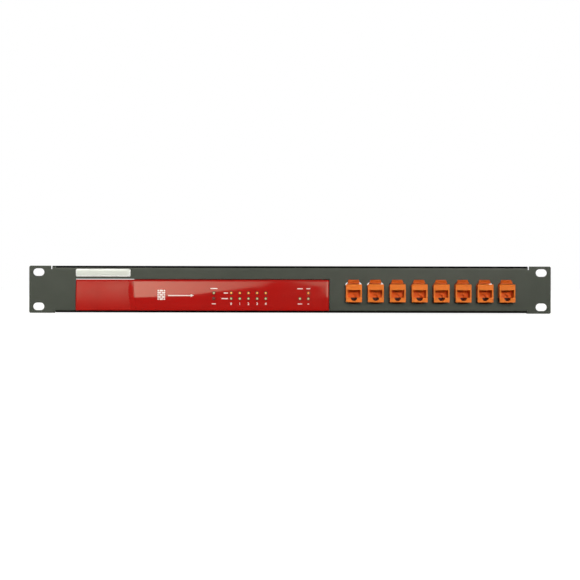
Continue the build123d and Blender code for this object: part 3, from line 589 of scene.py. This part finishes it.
def close_shell(bm, grid, low, high, wall):
    """Turns a grid of the front's points into a moulding that is hollow behind."""
    for lower, upper in zip(grid, grid[1:]):
        for i in range(len(lower) - 1):
            bm.faces.new((lower[i], lower[i + 1], upper[i + 1], upper[i]))
    rim = grid[0] + [line[-1] for line in grid[1:]] + grid[-1][-2::-1] + [line[0] for line in grid[-2:0:-1]]
    middle = (low + high) / 2
    shrink_x, shrink_z = 1 - 2 * wall / (high.x - low.x), 1 - 2 * wall / (high.z - low.z)
    inner_front = bezel_face(high.z) + wall

    def ring(y, scale_x, scale_z):
        return [bm.verts.new((middle.x + (v.co.x - middle.x) * scale_x, y,
                              middle.z + (v.co.z - middle.z) * scale_z)) for v in rim]

    rings = [rim, ring(high.y, 1, 1), ring(high.y, shrink_x, shrink_z)]
    rings.append(ring(inner_front, shrink_x, shrink_z))
    join_rings(bm, rings)
    bm.faces.new(rings[-1])


def bezel_rows(bezel):
    low, high, edge = BEZEL_LOW.z, BEZEL_HIGH.z, bezel.edge
    return spaced(low, high, 0.0009, [(low, low + edge, edge / 6), (high - edge, high, edge / 6)])


def front_shell(bezel, columns, low, high):
    """A hollow moulding. At a height, columns lists each point's X and how far it falls back, as a
    rounded side and a slope."""
    bm = bmesh.new()
    grid = []
    for z in bezel_rows(bezel):
        drop = max(rounding(z - BEZEL_LOW.z, bezel.edge), rounding(BEZEL_HIGH.z - z, bezel.edge))
        grid.append([bm.verts.new((x, bezel_face(z) + math.hypot(drop, side) + slope, z))
                     for x, side, slope in columns(z)])
    close_shell(bm, grid, low, high, bezel.wall)
    return bm


def build_face(bezel):
    """The main face with its slope and step, as a fine grid so that reflections run smoothly."""
    edge, right = bezel.edge, BEZEL_HIGH.x
    near = spaced(0.0, bezel.slope_width + 1 * MM, 0.4 * MM,
                  [(bezel.slope_width - 0.4 * MM, bezel.slope_width + 0.4 * MM, 0.05 * MM)])

    def columns(z):
        start = cap_end(z, bezel)
        count = 90
        body = [start + near[-1] + (right - edge - start - near[-1]) * i / count for i in range(1, count + 1)]
        tail = [right - edge + edge * i / 6 for i in range(1, 7)]
        return [(x, rounding(right - x, edge), slope_shape(x - start, bezel))
                for x in [start + s for s in near] + body + tail]

    low = Vector((cap_end(BEZEL_HIGH.z, bezel), BEZEL_LOW.y, BEZEL_LOW.z))
    return front_shell(bezel, columns, low, BEZEL_HIGH)


def build_cap(bezel):
    """The satin cap at the left end of the front."""
    edge, left = bezel.edge, BEZEL_LOW.x

    def columns(z):
        end = cap_end(z, bezel) - 0.02 * MM
        start = [left + edge * i / 6 for i in range(6)]
        body = [left + edge + (end - left - edge) * i / 20 for i in range(21)]
        return [(x, rounding(x - left, edge), 0.0) for x in start + body]

    high = Vector((cap_end(BEZEL_LOW.z, bezel), BEZEL_HIGH.y, BEZEL_HIGH.z))
    return front_shell(bezel, columns, BEZEL_LOW, high)


class FIREWALL_OT_mould_bezel(bpy.types.Operator):
    """Moulds the firewall's polished red front and the satin cap at its left end"""

    bl_idname = "firewall.mould_bezel"
    bl_label = "Mould bezel"

    def execute(self, context):
        bezel = context.scene.firewall_bezel
        piece = add_piece("bezel_shell", build_face(bezel), polished_red())
        add_piece("bezel_end_cap", build_cap(bezel), satin_red())
        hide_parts("front_bezel")
        return {"FINISHED"}


def light_places():
    """Centre of each status light on the front, as X and Z."""
    return [((low.x + high.x) / 2, (low.z + high.z) / 2) for low, high in islands("light_pipes")]


def light_colour(x, z, places):
    """Upper lights are amber and lower ones green, apart from the first pair: green above, unlit below."""
    upper = z > sum(place[1] for place in places) / len(places)
    if x < min(place[0] for place in places) + MM:
        return "green" if upper else "unlit"
    return "amber" if upper else "green"


class FIREWALL_OT_fit_lights(bpy.types.Operator):
    """Fits a domed lens at each status light, ringed by a thin dark band of painted shade"""

    bl_idname = "firewall.fit_lights"
    bl_label = "Fit status lights"

    def execute(self, context):
        places = light_places()
        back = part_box("light_pipes")[1].y
        tints = {
            "amber": clear_lens("amber lens", (0.80, 0.36, 0.06), 0.35),
            "green": clear_lens("green lens", (0.50, 0.46, 0.23), 0.35),
            "unlit": clear_lens("unlit lens", (0.20, 0.03, 0.02), 0.0),
        }
        shade_ring_finish = moulded_black("painted shade ring", (0.03, 0.006, 0.004), 0.0004, 0.00001)
        shade_rings = bmesh.new()
        for tint, material in tints.items():
            lenses = bmesh.new()
            for x, z in places:
                if light_colour(x, z, places) != tint:
                    continue
                face = bezel_face(z)
                dome = [(0.20, -0.30), (0.60, -0.26), (0.88, -0.14), (1.0, 0.1)]
                profile = [(radius * MM, face + along * MM) for radius, along in dome] + [(PIPE_RADIUS, back)]
                turned(lenses, (x, 0, z), profile, "Y", steps=28)
            add_piece(f"{tint}_lenses", lenses, material)
        # Painted shade: a thin near-black ring round each lens, standing in for the shade in the hole around
        # each light
        for x, z in places:
            face = bezel_face(z)
            section = ((PIPE_RADIUS, 0.0004), (PIPE_RADIUS, -0.00012), (0.00130, -0.00020),
                       (0.00160, -0.00010), (0.00165, 0.0004))
            slope = math.tan(bezel_lean(z))
            loops = [[(x + radius * math.cos(a), face + along + math.sin(a) * radius * slope,
                       z + radius * math.sin(a)) for a in ring_angles(32)] for radius, along in section]
            join_loops(shade_rings, loops + loops[:1], False, False)
        bmesh.ops.remove_doubles(shade_rings, verts=shade_rings.verts, dist=1e-7)
        add_piece("light_shade_rings", shade_rings, shade_ring_finish)
        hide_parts("light_pipes")
        return {"FINISHED"}


def bar(bm, x, z, width, height):
    """A rounded bar about a place on the front, flat and facing forwards."""
    outline = rounded_outline(width, height, min(width, height) * 0.45, 3)
    return bm.faces.new([bm.verts.new((x + px, 0, z + pz)) for px, pz in outline])


def numeral(bm, x, z, text, height):
    """A plain numeral about a place on the front."""
    curve = bpy.data.curves.new("numeral", "FONT")
    curve.body = text
    curve.size = height * 1.4
    curve.align_x = "CENTER"
    curve.align_y = "CENTER"
    curve.resolution_u = 4
    curve.offset = height * 0.04
    holder = bpy.data.objects.new("numeral", curve)
    mesh = bpy.data.meshes.new_from_object(holder)
    mesh.transform(Matrix.Translation((x, 0, z)) @ Matrix.Rotation(math.radians(90), 4, "X"))
    bm.from_mesh(mesh)
    bpy.data.meshes.remove(mesh)
    bpy.data.objects.remove(holder)
    bpy.data.curves.remove(curve)


def brick_mark(bm, x, z, width, rows):
    """A plain brick-wall symbol, drawn as rows of bricks."""
    joint = width * 0.055
    height = width * 0.20
    for row in range(rows):
        level = z + (row - (rows - 1) / 2) * (height + joint)
        cuts = [0.0, 0.5, 1.0] if row % 2 else [0.0, 0.25, 0.75, 1.0]
        for start, end in zip(cuts, cuts[1:]):
            middle = x + ((start + end) / 2 - 0.5) * width
            bar(bm, middle, level, (end - start) * width - joint, height)


def arrow(bm, start, end, z, width):
    """A plain arrow along the front, pointing right."""
    head = 3.2 * width
    bar(bm, (start + end - head) / 2, z, end - start - head, width)
    outline = ((end - head, z - 1.5 * width), (end, z), (end - head, z + 1.5 * width))
    bm.faces.new([bm.verts.new((px, 0, pz)) for px, pz in outline])


def lay_on_bezel(bm, thickness):
    """Gives flat marks a thickness and lays them on the crowned front."""
    bmesh.ops.remove_doubles(bm, verts=bm.verts, dist=1e-7)
    raised = bmesh.ops.extrude_face_region(bm, geom=list(bm.faces))["geom"]
    tops = {v for v in raised if isinstance(v, bmesh.types.BMVert)}
    for vert in bm.verts:
        vert.co.y = bezel_face(vert.co.z) + (-thickness if vert in tops else thickness)


class FIREWALL_OT_print_marks(bpy.types.Operator):
    """Prints plain numerals, dashes and a brick symbol around the status lights"""

    bl_idname = "firewall.print_marks"
    bl_label = "Print marks"

    def execute(self, context):
        places = light_places()
        columns = sorted({round(x, 5) for x, _ in places})
        upper, lower = max(z for _, z in places), min(z for _, z in places)
        above, below = upper + 0.0041, lower - 0.0048
        ports = columns[1:6]
        marks = bmesh.new()
        for number, x in enumerate(ports):
            numeral(marks, x, below, str(number), 0.0022)
        for x, width in ((columns[0], 0.0064), (columns[6], 0.0052), (columns[7], 0.0036)):
            bar(marks, x, above, width, 0.0008)
        for x, width in ((columns[0], 0.0038), (columns[6], 0.0042), (columns[7], 0.0016)):
            bar(marks, x, below, width, 0.0008)
        bar(marks, ports[0] - 0.0049, upper, 0.0040, 0.0009)
        bar(marks, ports[0] - 0.0059, lower, 0.0060, 0.0009)
        wall_x, wall_z = BEZEL_LOW.x + 0.0790, (upper + lower) / 2 + 0.0008
        brick_mark(marks, wall_x, wall_z, 0.0076, 5)
        arrow(marks, wall_x + 0.0062, wall_x + 0.0300, wall_z - 0.0006, 0.0009)
        lay_on_bezel(marks, 0.00003)
        add_piece("printed_marks", marks, printed_white())
        return {"FINISHED"}


class FIREWALL_OT_dome_badge(bpy.types.Operator):
    """Makes the blank badge plate: a pale rim around a recessed face under clear resin"""

    bl_idname = "firewall.dome_badge"
    bl_label = "Dome badge"

    def execute(self, context):
        low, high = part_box("badge_plate")
        middle = (low + high) / 2
        width, height, back, front = high.x - low.x, high.z - low.z, high.y, low.y

        def loops(levels):
            return [[(middle.x + px, y, middle.z + pz)
                     for px, pz in rounded_outline(width - 2 * inset, height - 2 * inset,
                                                   max(BADGE_CORNER - inset, 0.0004), 8)]
                    for inset, y in levels]

        pale = context.scene.firewall_paint.badge
        rim = bmesh.new()
        join_loops(rim, loops([(0.0, back), (0.0, front + 0.00035), (0.00012, front + 0.0001),
                               (0.0004, front), (0.0010, front), (0.0012, front + 0.0002)]))
        piece = add_piece("badge_rim", rim, badge_finish("badge rim", (0.80, 0.82, 0.84)))
        face = bmesh.new()
        join_loops(face, loops([(0.00125, front + 0.0003), (0.00125, front + 0.00010),
                                (0.0016, front + 0.00006), (0.0022, front + 0.00004)]))
        add_piece("badge_face", face, badge_finish("badge face", pale))
        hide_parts("badge_plate")
        return {"FINISHED"}


# Tray, clamp and strap


class FIREWALL_OT_coat_tray(bpy.types.Operator):
    """Powder coats the tray, the clamp bar and the adapter's strap, and finishes the foam pad"""

    bl_idname = "firewall.coat_tray"
    bl_label = "Coat tray"

    def execute(self, context):
        # The tray's coat carries painted shade along the front's folds
        dress(powder_coat(painted_fold_shade=True), "rack_tray")
        dress(powder_coat(), "rear_clamp_bar", "adapter_strap")
        dress(soft_foam("black foam", (0.028, 0.028, 0.029)), "clamp_pad")
        return {"FINISHED"}


class FIREWALL_OT_knurl_screws(bpy.types.Operator):
    """Turns the thumb screws with knurled heads"""

    bl_idname = "firewall.knurl_screws"
    bl_label = "Knurl screws"

    def execute(self, context):
        nickel = drawn_metal("nickel plate", (0.66, 0.65, 0.62), 0.24, (1.0, 1.0, 6.0), 0.0012)
        screws = bmesh.new()
        for low, high in islands("thumb_screws"):
            radius = (high.x - low.x) / 2
            seat = high.z - 0.0082
            slot_floor = high.z - 0.0012
            centre = ((low.x + high.x) / 2, (low.y + high.y) / 2, 0)
            shank, collar = 0.00145, 0.0032
            profile = [(shank, low.z), (shank, seat), (collar, seat), (collar, seat + 0.0012),
                       (radius * 0.93, seat + 0.0012), (radius, seat + 0.0017), (radius, high.z - 0.0006),
                       (radius * 0.93, high.z - 0.0001), (radius * 0.90, high.z), (radius * 0.62, high.z),
                       (radius * 0.58, slot_floor), (radius * 0.2, slot_floor)]
            turned(screws, centre, profile, "Z", teeth=30, tooth=0.00028)
        piece = add_piece("knurled_screws", screws, nickel, smooth_angle=25)
        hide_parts("thumb_screws")
        dress(nickel, "cover_screws", "board_screws", "board_standoffs", "adapter_inlet_pins")
        return {"FINISHED"}


# Couplers


class FIREWALL_OT_mould_couplers(bpy.types.Operator):
    """Finishes the eight couplers and adds grip ridges to their latches"""

    bl_idname = "firewall.mould_couplers"
    bl_label = "Mould couplers"

    def execute(self, context):
        paint = context.scene.firewall_paint
        orange = orange_plastic("orange plastic", paint.coupler)
        housing = orange_plastic("socket orange with painted light and shade", paint.coupler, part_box("coupler_housing_1")[0].y)
        # The latches take the darker orange, painted shade for their up-tilted faces
        shaded_lever = orange_plastic("lever orange", paint.latch)
        gold = drawn_metal("gold plate", (0.86, 0.60, 0.20), 0.22, (14.0, 1.0, 14.0), 0.0008, 0.000003)
        for number in COUPLER_NUMBERS:
            dress(housing, f"coupler_housing_{number}")
            dress(shaded_lever, f"coupler_latch_{number}")
            low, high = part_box(f"coupler_latch_{number}")
            middle = (low.x + high.x) / 2
            ridges = bmesh.new()
            for step in range(3):
                share = 0.28 + 0.24 * step
                y = low.y + 0.0022 * share
                z = high.z - 0.0026 * (1 - share)
                half = 0.0035 - 0.0003 * step
                loops = [[(x, y + RIDGE_RADIUS * math.cos(a), z + RIDGE_RADIUS * math.sin(a))
                          for a in ring_angles(10)] for x in (middle - half, middle + half)]
                join_loops(ridges, loops)
            add_piece(f"latch_ridges_{number}", ridges, shaded_lever, f"latch_{number}")
        dress(orange, "coupler_rear_shells")
        dress(gold, "coupler_contacts", "jack_contacts")
        return {"FINISHED"}


# The firewall's case and connectors


class FIREWALL_OT_paint_case(bpy.types.Operator):
    """Paints the case's cover and base"""

    bl_idname = "firewall.paint_case"
    bl_label = "Paint case"

    def execute(self, context):
        paint = context.scene.firewall_paint
        dress(satin_paint("case cover paint", paint.case), "case_cover")
        dress(satin_paint("case base paint", paint.base), "case_base")
        return {"FINISHED"}


def jack_boxes():
    return islands("ethernet_jacks") + [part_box("console_jack")]


class FIREWALL_OT_fit_connectors(bpy.types.Operator):
    """Finishes the rear connectors, with dark liners and light windows in the network jacks"""

    bl_idname = "firewall.fit_connectors"
    bl_label = "Fit connectors"

    def execute(self, context):
        tin = drawn_metal("tin plate", (0.60, 0.60, 0.58), 0.30, (1.0, 8.0, 8.0))
        black = moulded_black("connector black", (0.02, 0.02, 0.021), 0.0004, 0.00001)
        dress(tin, "ethernet_jacks", "console_jack", "usb_ports")
        dress(black, "usb_tongues", "power_jack", "reset_button", "reset_switch")
        liners = bmesh.new()
        windows = {"green": bmesh.new(), "amber": bmesh.new()}
        for low, high in jack_boxes():
            middle, mouth = (low.x + high.x) / 2, high.y
            top = high.z - 0.0019
            left, right, floor = middle - SOCKET_HALF, middle + SOCKET_HALF, top - SOCKET_HEIGHT
            skin = 0.00025
            deep, lip = mouth - 0.0128, mouth + 0.0001
            add_box(liners, (left, deep, floor), (left + skin, lip, top))
            add_box(liners, (right - skin, deep, floor), (right, lip, top))
            add_box(liners, (left, deep, top - skin * 0.8), (right, lip, top))
            add_box(liners, (left, deep, floor), (right, deep + skin, top - 0.0026))
            for side, tint in ((-1, "green"), (1, "amber")):
                edge, half = middle + side * 0.0066, 0.0010
                add_box(windows[tint], (edge - half, mouth - 0.001, high.z - 0.0017),
                        (edge + half, mouth + 0.00015, high.z - 0.0004))
        add_piece("jack_liners", liners, black)
        glows = {"green": (0.10, 0.45, 0.10), "amber": (0.75, 0.40, 0.06)}
        for tint, shape in windows.items():
            soften(shape, 0.00018)
            lens = clear_lens(f"{tint} window", glows[tint], 0.1)
            add_piece(f"jack_windows_{tint}", shape, lens)
        return {"FINISHED"}


# Boards and what is on them


def add_small_parts(bm, area, skip, rows, columns):
    """Rows of chip resistors and capacitors on a board, left out where something else stands."""
    (x0, y0, z), (x1, y1, _) = area
    for row in range(rows):
        for column in range(columns):
            shift = math.sin(row * 12.9898 + column * 78.233) * 43758.5453
            jitter = shift - math.floor(shift)
            if jitter < 0.35:
                continue
            x = x0 + (x1 - x0) * (column + 0.3 + 0.4 * jitter) / columns
            y = y0 + (y1 - y0) * (row + 0.5) / rows
            if any(a.x - 0.002 < x < b.x + 0.002 and a.y - 0.002 < y < b.y + 0.002 for a, b in skip):
                continue
            long, short = (0.0016, 0.0008) if (row + column) % 3 else (0.0008, 0.0016)
            add_box(bm, (x - long / 2, y - short / 2, z), (x + long / 2, y + short / 2, z + 0.0006))


class FIREWALL_OT_finish_boards(bpy.types.Operator):
    """Finishes the boards and their parts, and adds rows of small chip parts"""

    bl_idname = "firewall.finish_boards"
    bl_label = "Finish boards"

    def execute(self, context):
        green, resin = circuit_green(), chip_resin()
        can = drawn_metal("can aluminium", (0.72, 0.72, 0.73), 0.32, (1.0, 1.0, 10.0))
        dress(green, "main_board", "light_board", "adapter_board")
        dress(resin, "processor", "memory_chips", "lan_magnetics", "inductors", "coin_cell_holder")
        dress(can, "capacitors", "adapter_capacitors")
        dress(drawn_metal("sink aluminium", (0.62, 0.63, 0.65), 0.40, (14.0, 1.0, 14.0)), "heat_sink")
        dress(drawn_metal("cell steel", (0.60, 0.60, 0.59), 0.28, (8.0, 8.0, 1.0)), "coin_cell")
        dress(soft_foam("thermal pad", (0.32, 0.36, 0.42)), "thermal_pad")
        dress(clear_lens("lamp resin", (0.70, 0.66, 0.45), 0.2), "status_lamps")
        ferrite = moulded_black("ferrite", (0.05, 0.05, 0.052), 0.0006, 0.00001, (0.5, 0.7))
        dress(ferrite, "adapter_transformer")
        tape = Finish("winding tape", (0.70, 0.44, 0.05), 0.35)
        wraps = tape.noise(0.001, 1.0, tape.stretched((0.05, 1.0, 1.6)))
        tape.mottled(0.004, 0.15).smudged(0.003, 0.28, 0.42).bumped(wraps, 0.00006)
        dress(tape.material, "adapter_winding")
        low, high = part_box("main_board")
        singles = ("processor", "heat_sink", "coin_cell_holder", "console_jack", "usb_ports", "power_jack",
                   "reset_switch")
        groups = ("memory_chips", "lan_magnetics", "capacitors", "inductors", "board_screws",
                  "ethernet_jacks")
        standing = [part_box(node) for node in singles] + [box for node in groups for box in islands(node)]
        small = bmesh.new()
        inset = Vector((0.006, 0.006, 0))
        corner = (low.x + inset.x, low.y + inset.y, high.z)
        add_small_parts(small, (corner, high - inset), standing, rows=26, columns=34)
        ceramic = Finish("chip ceramic", (0.30, 0.24, 0.17), 0.45)
        ceramic.mottled(0.0006, 0.4).smudged(0.001, 0.35, 0.55).bumped(ceramic.noise(0.0003, 1.0), 0.00001)
        add_piece("small_parts", small, ceramic.material)
        return {"FINISHED"}


# Power adapter


class FIREWALL_OT_finish_adapter(bpy.types.Operator):
    """Finishes the power adapter's shells, inlet and bush, with a seam line between the shells"""

    bl_idname = "firewall.finish_adapter"
    bl_label = "Finish adapter"

    def execute(self, context):
        black = moulded_black("adapter black", (0.016, 0.016, 0.017), 0.0009, 0.00004)
        dress(black, "adapter_case_lower", "adapter_case_upper", "adapter_inlet")
        dress(soft_foam("bush rubber", (0.02, 0.02, 0.02)), "adapter_outlet")
        low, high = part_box("adapter_case_lower")
        middle = (low + high) / 2
        seam = bmesh.new()
        width, depth = high.x - low.x, high.y - low.y
        outline = rounded_outline(width, depth, 0.004, 8)
        section = ((-0.0003, -0.0002), (0.00012, -0.00016), (0.00012, 0.00016), (-0.0003, 0.0002))
        loops = [[(middle.x + px * (1 + 2 * out / width), middle.y + py * (1 + 2 * out / depth), high.z + up)
                  for px, py in outline] for out, up in section]
        join_loops(seam, loops + loops[:1], False, False)
        bmesh.ops.remove_doubles(seam, verts=seam.verts, dist=1e-7)
        add_piece("adapter_seam", seam, black)
        return {"FINISHED"}


# Studio


def softbox(name, middle, target, width, height, glow, mirrored=True):
    """A soft rectangular light aimed at a point. One that isn't mirrored adds no gloss."""
    light = bpy.data.lights.new(name, "AREA")
    light.shape = "RECTANGLE"
    light.size, light.size_y = width, height
    light.energy = glow * math.pi * width * height
    light.color = LAMP_COLOUR
    box = bpy.data.objects.new(name, light)
    aim = (Vector(target) - Vector(middle)).to_track_quat("-Z", "Y").to_matrix().to_4x4()
    box.matrix_world = Matrix.Translation(middle) @ aim
    box.visible_camera = False
    box.visible_glossy = mirrored
    bpy.context.scene.collection.objects.link(box)


def flat_sheet(name, points):
    """A flat face through points, kept out of the object."""
    bm = bmesh.new()
    bm.faces.new([bm.verts.new(point) for point in points])
    mesh = bpy.data.meshes.new(name)
    bm.to_mesh(mesh)
    bm.free()
    sheet = bpy.data.objects.new(name, mesh)
    bpy.context.scene.collection.objects.link(sheet)
    return sheet


def glowing_sheet(name, outline, dim_x, dim_glow, bright_x, bright_glow):
    """A softbox cut to an outline of X and Z, whose radiance runs from one value to another across it."""
    sheet = flat_sheet(name, [(x, SHEET_Y, z) for x, z in outline])
    glow = Finish(name, (0.0, 0.0, 0.0), 1.0)
    emission = glow.node("ShaderNodeEmission")
    emission.inputs["Color"].default_value = (*LAMP_COLOUR, 1.0)
    split = glow.node("ShaderNodeSeparateXYZ")
    glow.link(glow.place, split.inputs["Vector"])
    ramp = glow.spread(split.outputs["X"], dim_x, bright_x, dim_glow, bright_glow)
    glow.link(ramp, emission.inputs["Strength"])
    glow.link(emission.outputs["Emission"], glow.tree.nodes["Material Output"].inputs["Surface"])
    sheet.data.materials.append(glow.material)
    sheet.visible_camera = False


def show_camera(tree, seen, unseen, output):
    """Shows the camera one shader, while light from elsewhere meets another."""
    mix = tree.nodes.new("ShaderNodeMixShader")
    path = tree.nodes.new("ShaderNodeLightPath")
    tree.links.new(path.outputs["Is Camera Ray"], mix.inputs["Fac"])
    tree.links.new(unseen, mix.inputs[1])
    tree.links.new(seen, mix.inputs[2])
    tree.links.new(mix.outputs["Shader"], tree.nodes[output].inputs["Surface"])


def pale_floor(low):
    """A wide plain floor, whiter to the camera than the light it throws back on the object."""
    reach = 40.0
    corners = ((-1, -1), (1, -1), (1, 1), (-1, 1))
    floor = flat_sheet("floor", [(reach * x, reach * y, low) for x, y in corners])
    paper = Finish("pale paper", (0.34, 0.34, 0.34), 0.9, specular_ior_level=0.0)
    paper.shader.inputs["Emission Color"].default_value = (1.0, 1.0, 1.0, 1.0)
    distance = paper.node("ShaderNodeVectorMath", operation="LENGTH")
    paper.link(paper.place, distance.inputs[0])
    glow = paper.spread(distance.outputs["Value"], 0.45, 1.5, 0.85, 1.0)
    paper.link(glow, paper.shader.inputs["Emission Strength"])
    dull = paper.node("ShaderNodeBsdfDiffuse")
    dull.inputs["Color"].default_value = (0.2, 0.2, 0.2, 1.0)
    show_camera(paper.tree, paper.shader.outputs["BSDF"], dull.outputs["BSDF"], "Material Output")
    floor.data.materials.append(paper.material)


def white_backdrop(dim):
    """A room that looks white, but lights the object only dimly."""
    world = bpy.data.worlds.new("studio")
    world.use_nodes = True
    tree = world.node_tree
    room, seen = tree.nodes["Background"], tree.nodes.new("ShaderNodeBackground")
    for shader, strength in ((room, dim), (seen, 1.0)):
        shader.inputs["Color"].default_value = (1, 1, 1, 1)
        shader.inputs["Strength"].default_value = strength
    show_camera(tree, seen.outputs["Background"], room.outputs["Background"], "World Output")
    bpy.context.scene.world = world


class FIREWALL_OT_set_studio(bpy.types.Operator):
    """Sets the camera square to the front panel, the softboxes, the pale floor and the white room"""

    bl_idname = "firewall.set_studio"
    bl_label = "Set studio"

    def execute(self, context):
        studio = context.scene.firewall_studio
        low, high = CAD_BOX
        pale_floor(low.z - 0.0001)
        white_backdrop(studio.dim)
        key, fill, side = studio.key_glow, studio.fill_glow, studio.side_glow
        glowing_sheet("key_left", LEFT_SHEET, -0.06, 0.36 * key, -0.35, key)
        glowing_sheet("key_right", RIGHT_SHEET, 0.08, 0.40 * key, 0.50, 1.8 * key)
        softbox("front_fill", (0.35, -2.2, 0.42), (0, 0, 0), 0.7, 0.5, fill, mirrored=False)
        for sign, hand in ((-1, "left"), (1, "right")):
            softbox(f"side_{hand}", (sign * 1.6, 0.35, 0.9), (0, 0.1, 0), 0.9, 1.1, side)
            softbox(f"rear_{hand}", (sign * 1.3, 1.5, 0.9), (0, 0.1, 0), 1.2, 1.0, 2.4 * side)
        camera = bpy.data.cameras.new("camera")
        camera.sensor_width = 36.0
        camera.lens = camera.sensor_width * studio.distance / studio.view_width
        camera.clip_start = 0.05
        holder = bpy.data.objects.new("camera", camera)
        holder.location = ((low.x + high.x) / 2, PANEL_FRONT - studio.distance, -0.0003)
        holder.rotation_euler = (math.radians(90), math.radians(studio.tilt), 0)
        context.scene.collection.objects.link(holder)
        context.scene.camera = holder
        context.scene.view_settings.view_transform = "Standard"
        return {"FINISHED"}


class FIREWALL_PT_panel(bpy.types.Panel):
    """Lists the steps that finish the appliance"""

    bl_idname = "FIREWALL_PT_panel"
    bl_label = "Firewall"
    bl_space_type = "VIEW_3D"
    bl_region_type = "UI"
    bl_category = "Firewall"

    def draw(self, context):
        for setting in SETTINGS:
            group = getattr(context.scene, setting)
            for key in group.__annotations__:
                self.layout.prop(group, key)
        for step in STEPS:
            self.layout.operator(step.bl_idname)


STEPS = (
    FIREWALL_OT_set_studio,
    FIREWALL_OT_coat_tray,
    FIREWALL_OT_mould_bezel,
    FIREWALL_OT_fit_lights,
    FIREWALL_OT_print_marks,
    FIREWALL_OT_dome_badge,
    FIREWALL_OT_mould_couplers,
    FIREWALL_OT_knurl_screws,
    FIREWALL_OT_paint_case,
    FIREWALL_OT_fit_connectors,
    FIREWALL_OT_finish_boards,
    FIREWALL_OT_finish_adapter,
)
SETTINGS = {"firewall_paint": PaintSettings, "firewall_bezel": BezelSettings,
            "firewall_studio": StudioSettings}


def register():
    for cls in (*SETTINGS.values(), *STEPS, FIREWALL_PT_panel):
        bpy.utils.register_class(cls)
    for name, group in SETTINGS.items():
        setattr(bpy.types.Scene, name, PointerProperty(type=group))


def unregister():
    for name in SETTINGS:
        delattr(bpy.types.Scene, name)
    for cls in (FIREWALL_PT_panel, *STEPS[::-1], *SETTINGS.values()):
        bpy.utils.unregister_class(cls)


def main():
    register()
    for step in STEPS:
        group, name = step.bl_idname.split(".")
        getattr(getattr(bpy.ops, group), name)()


if __name__ == "__main__":
    main()
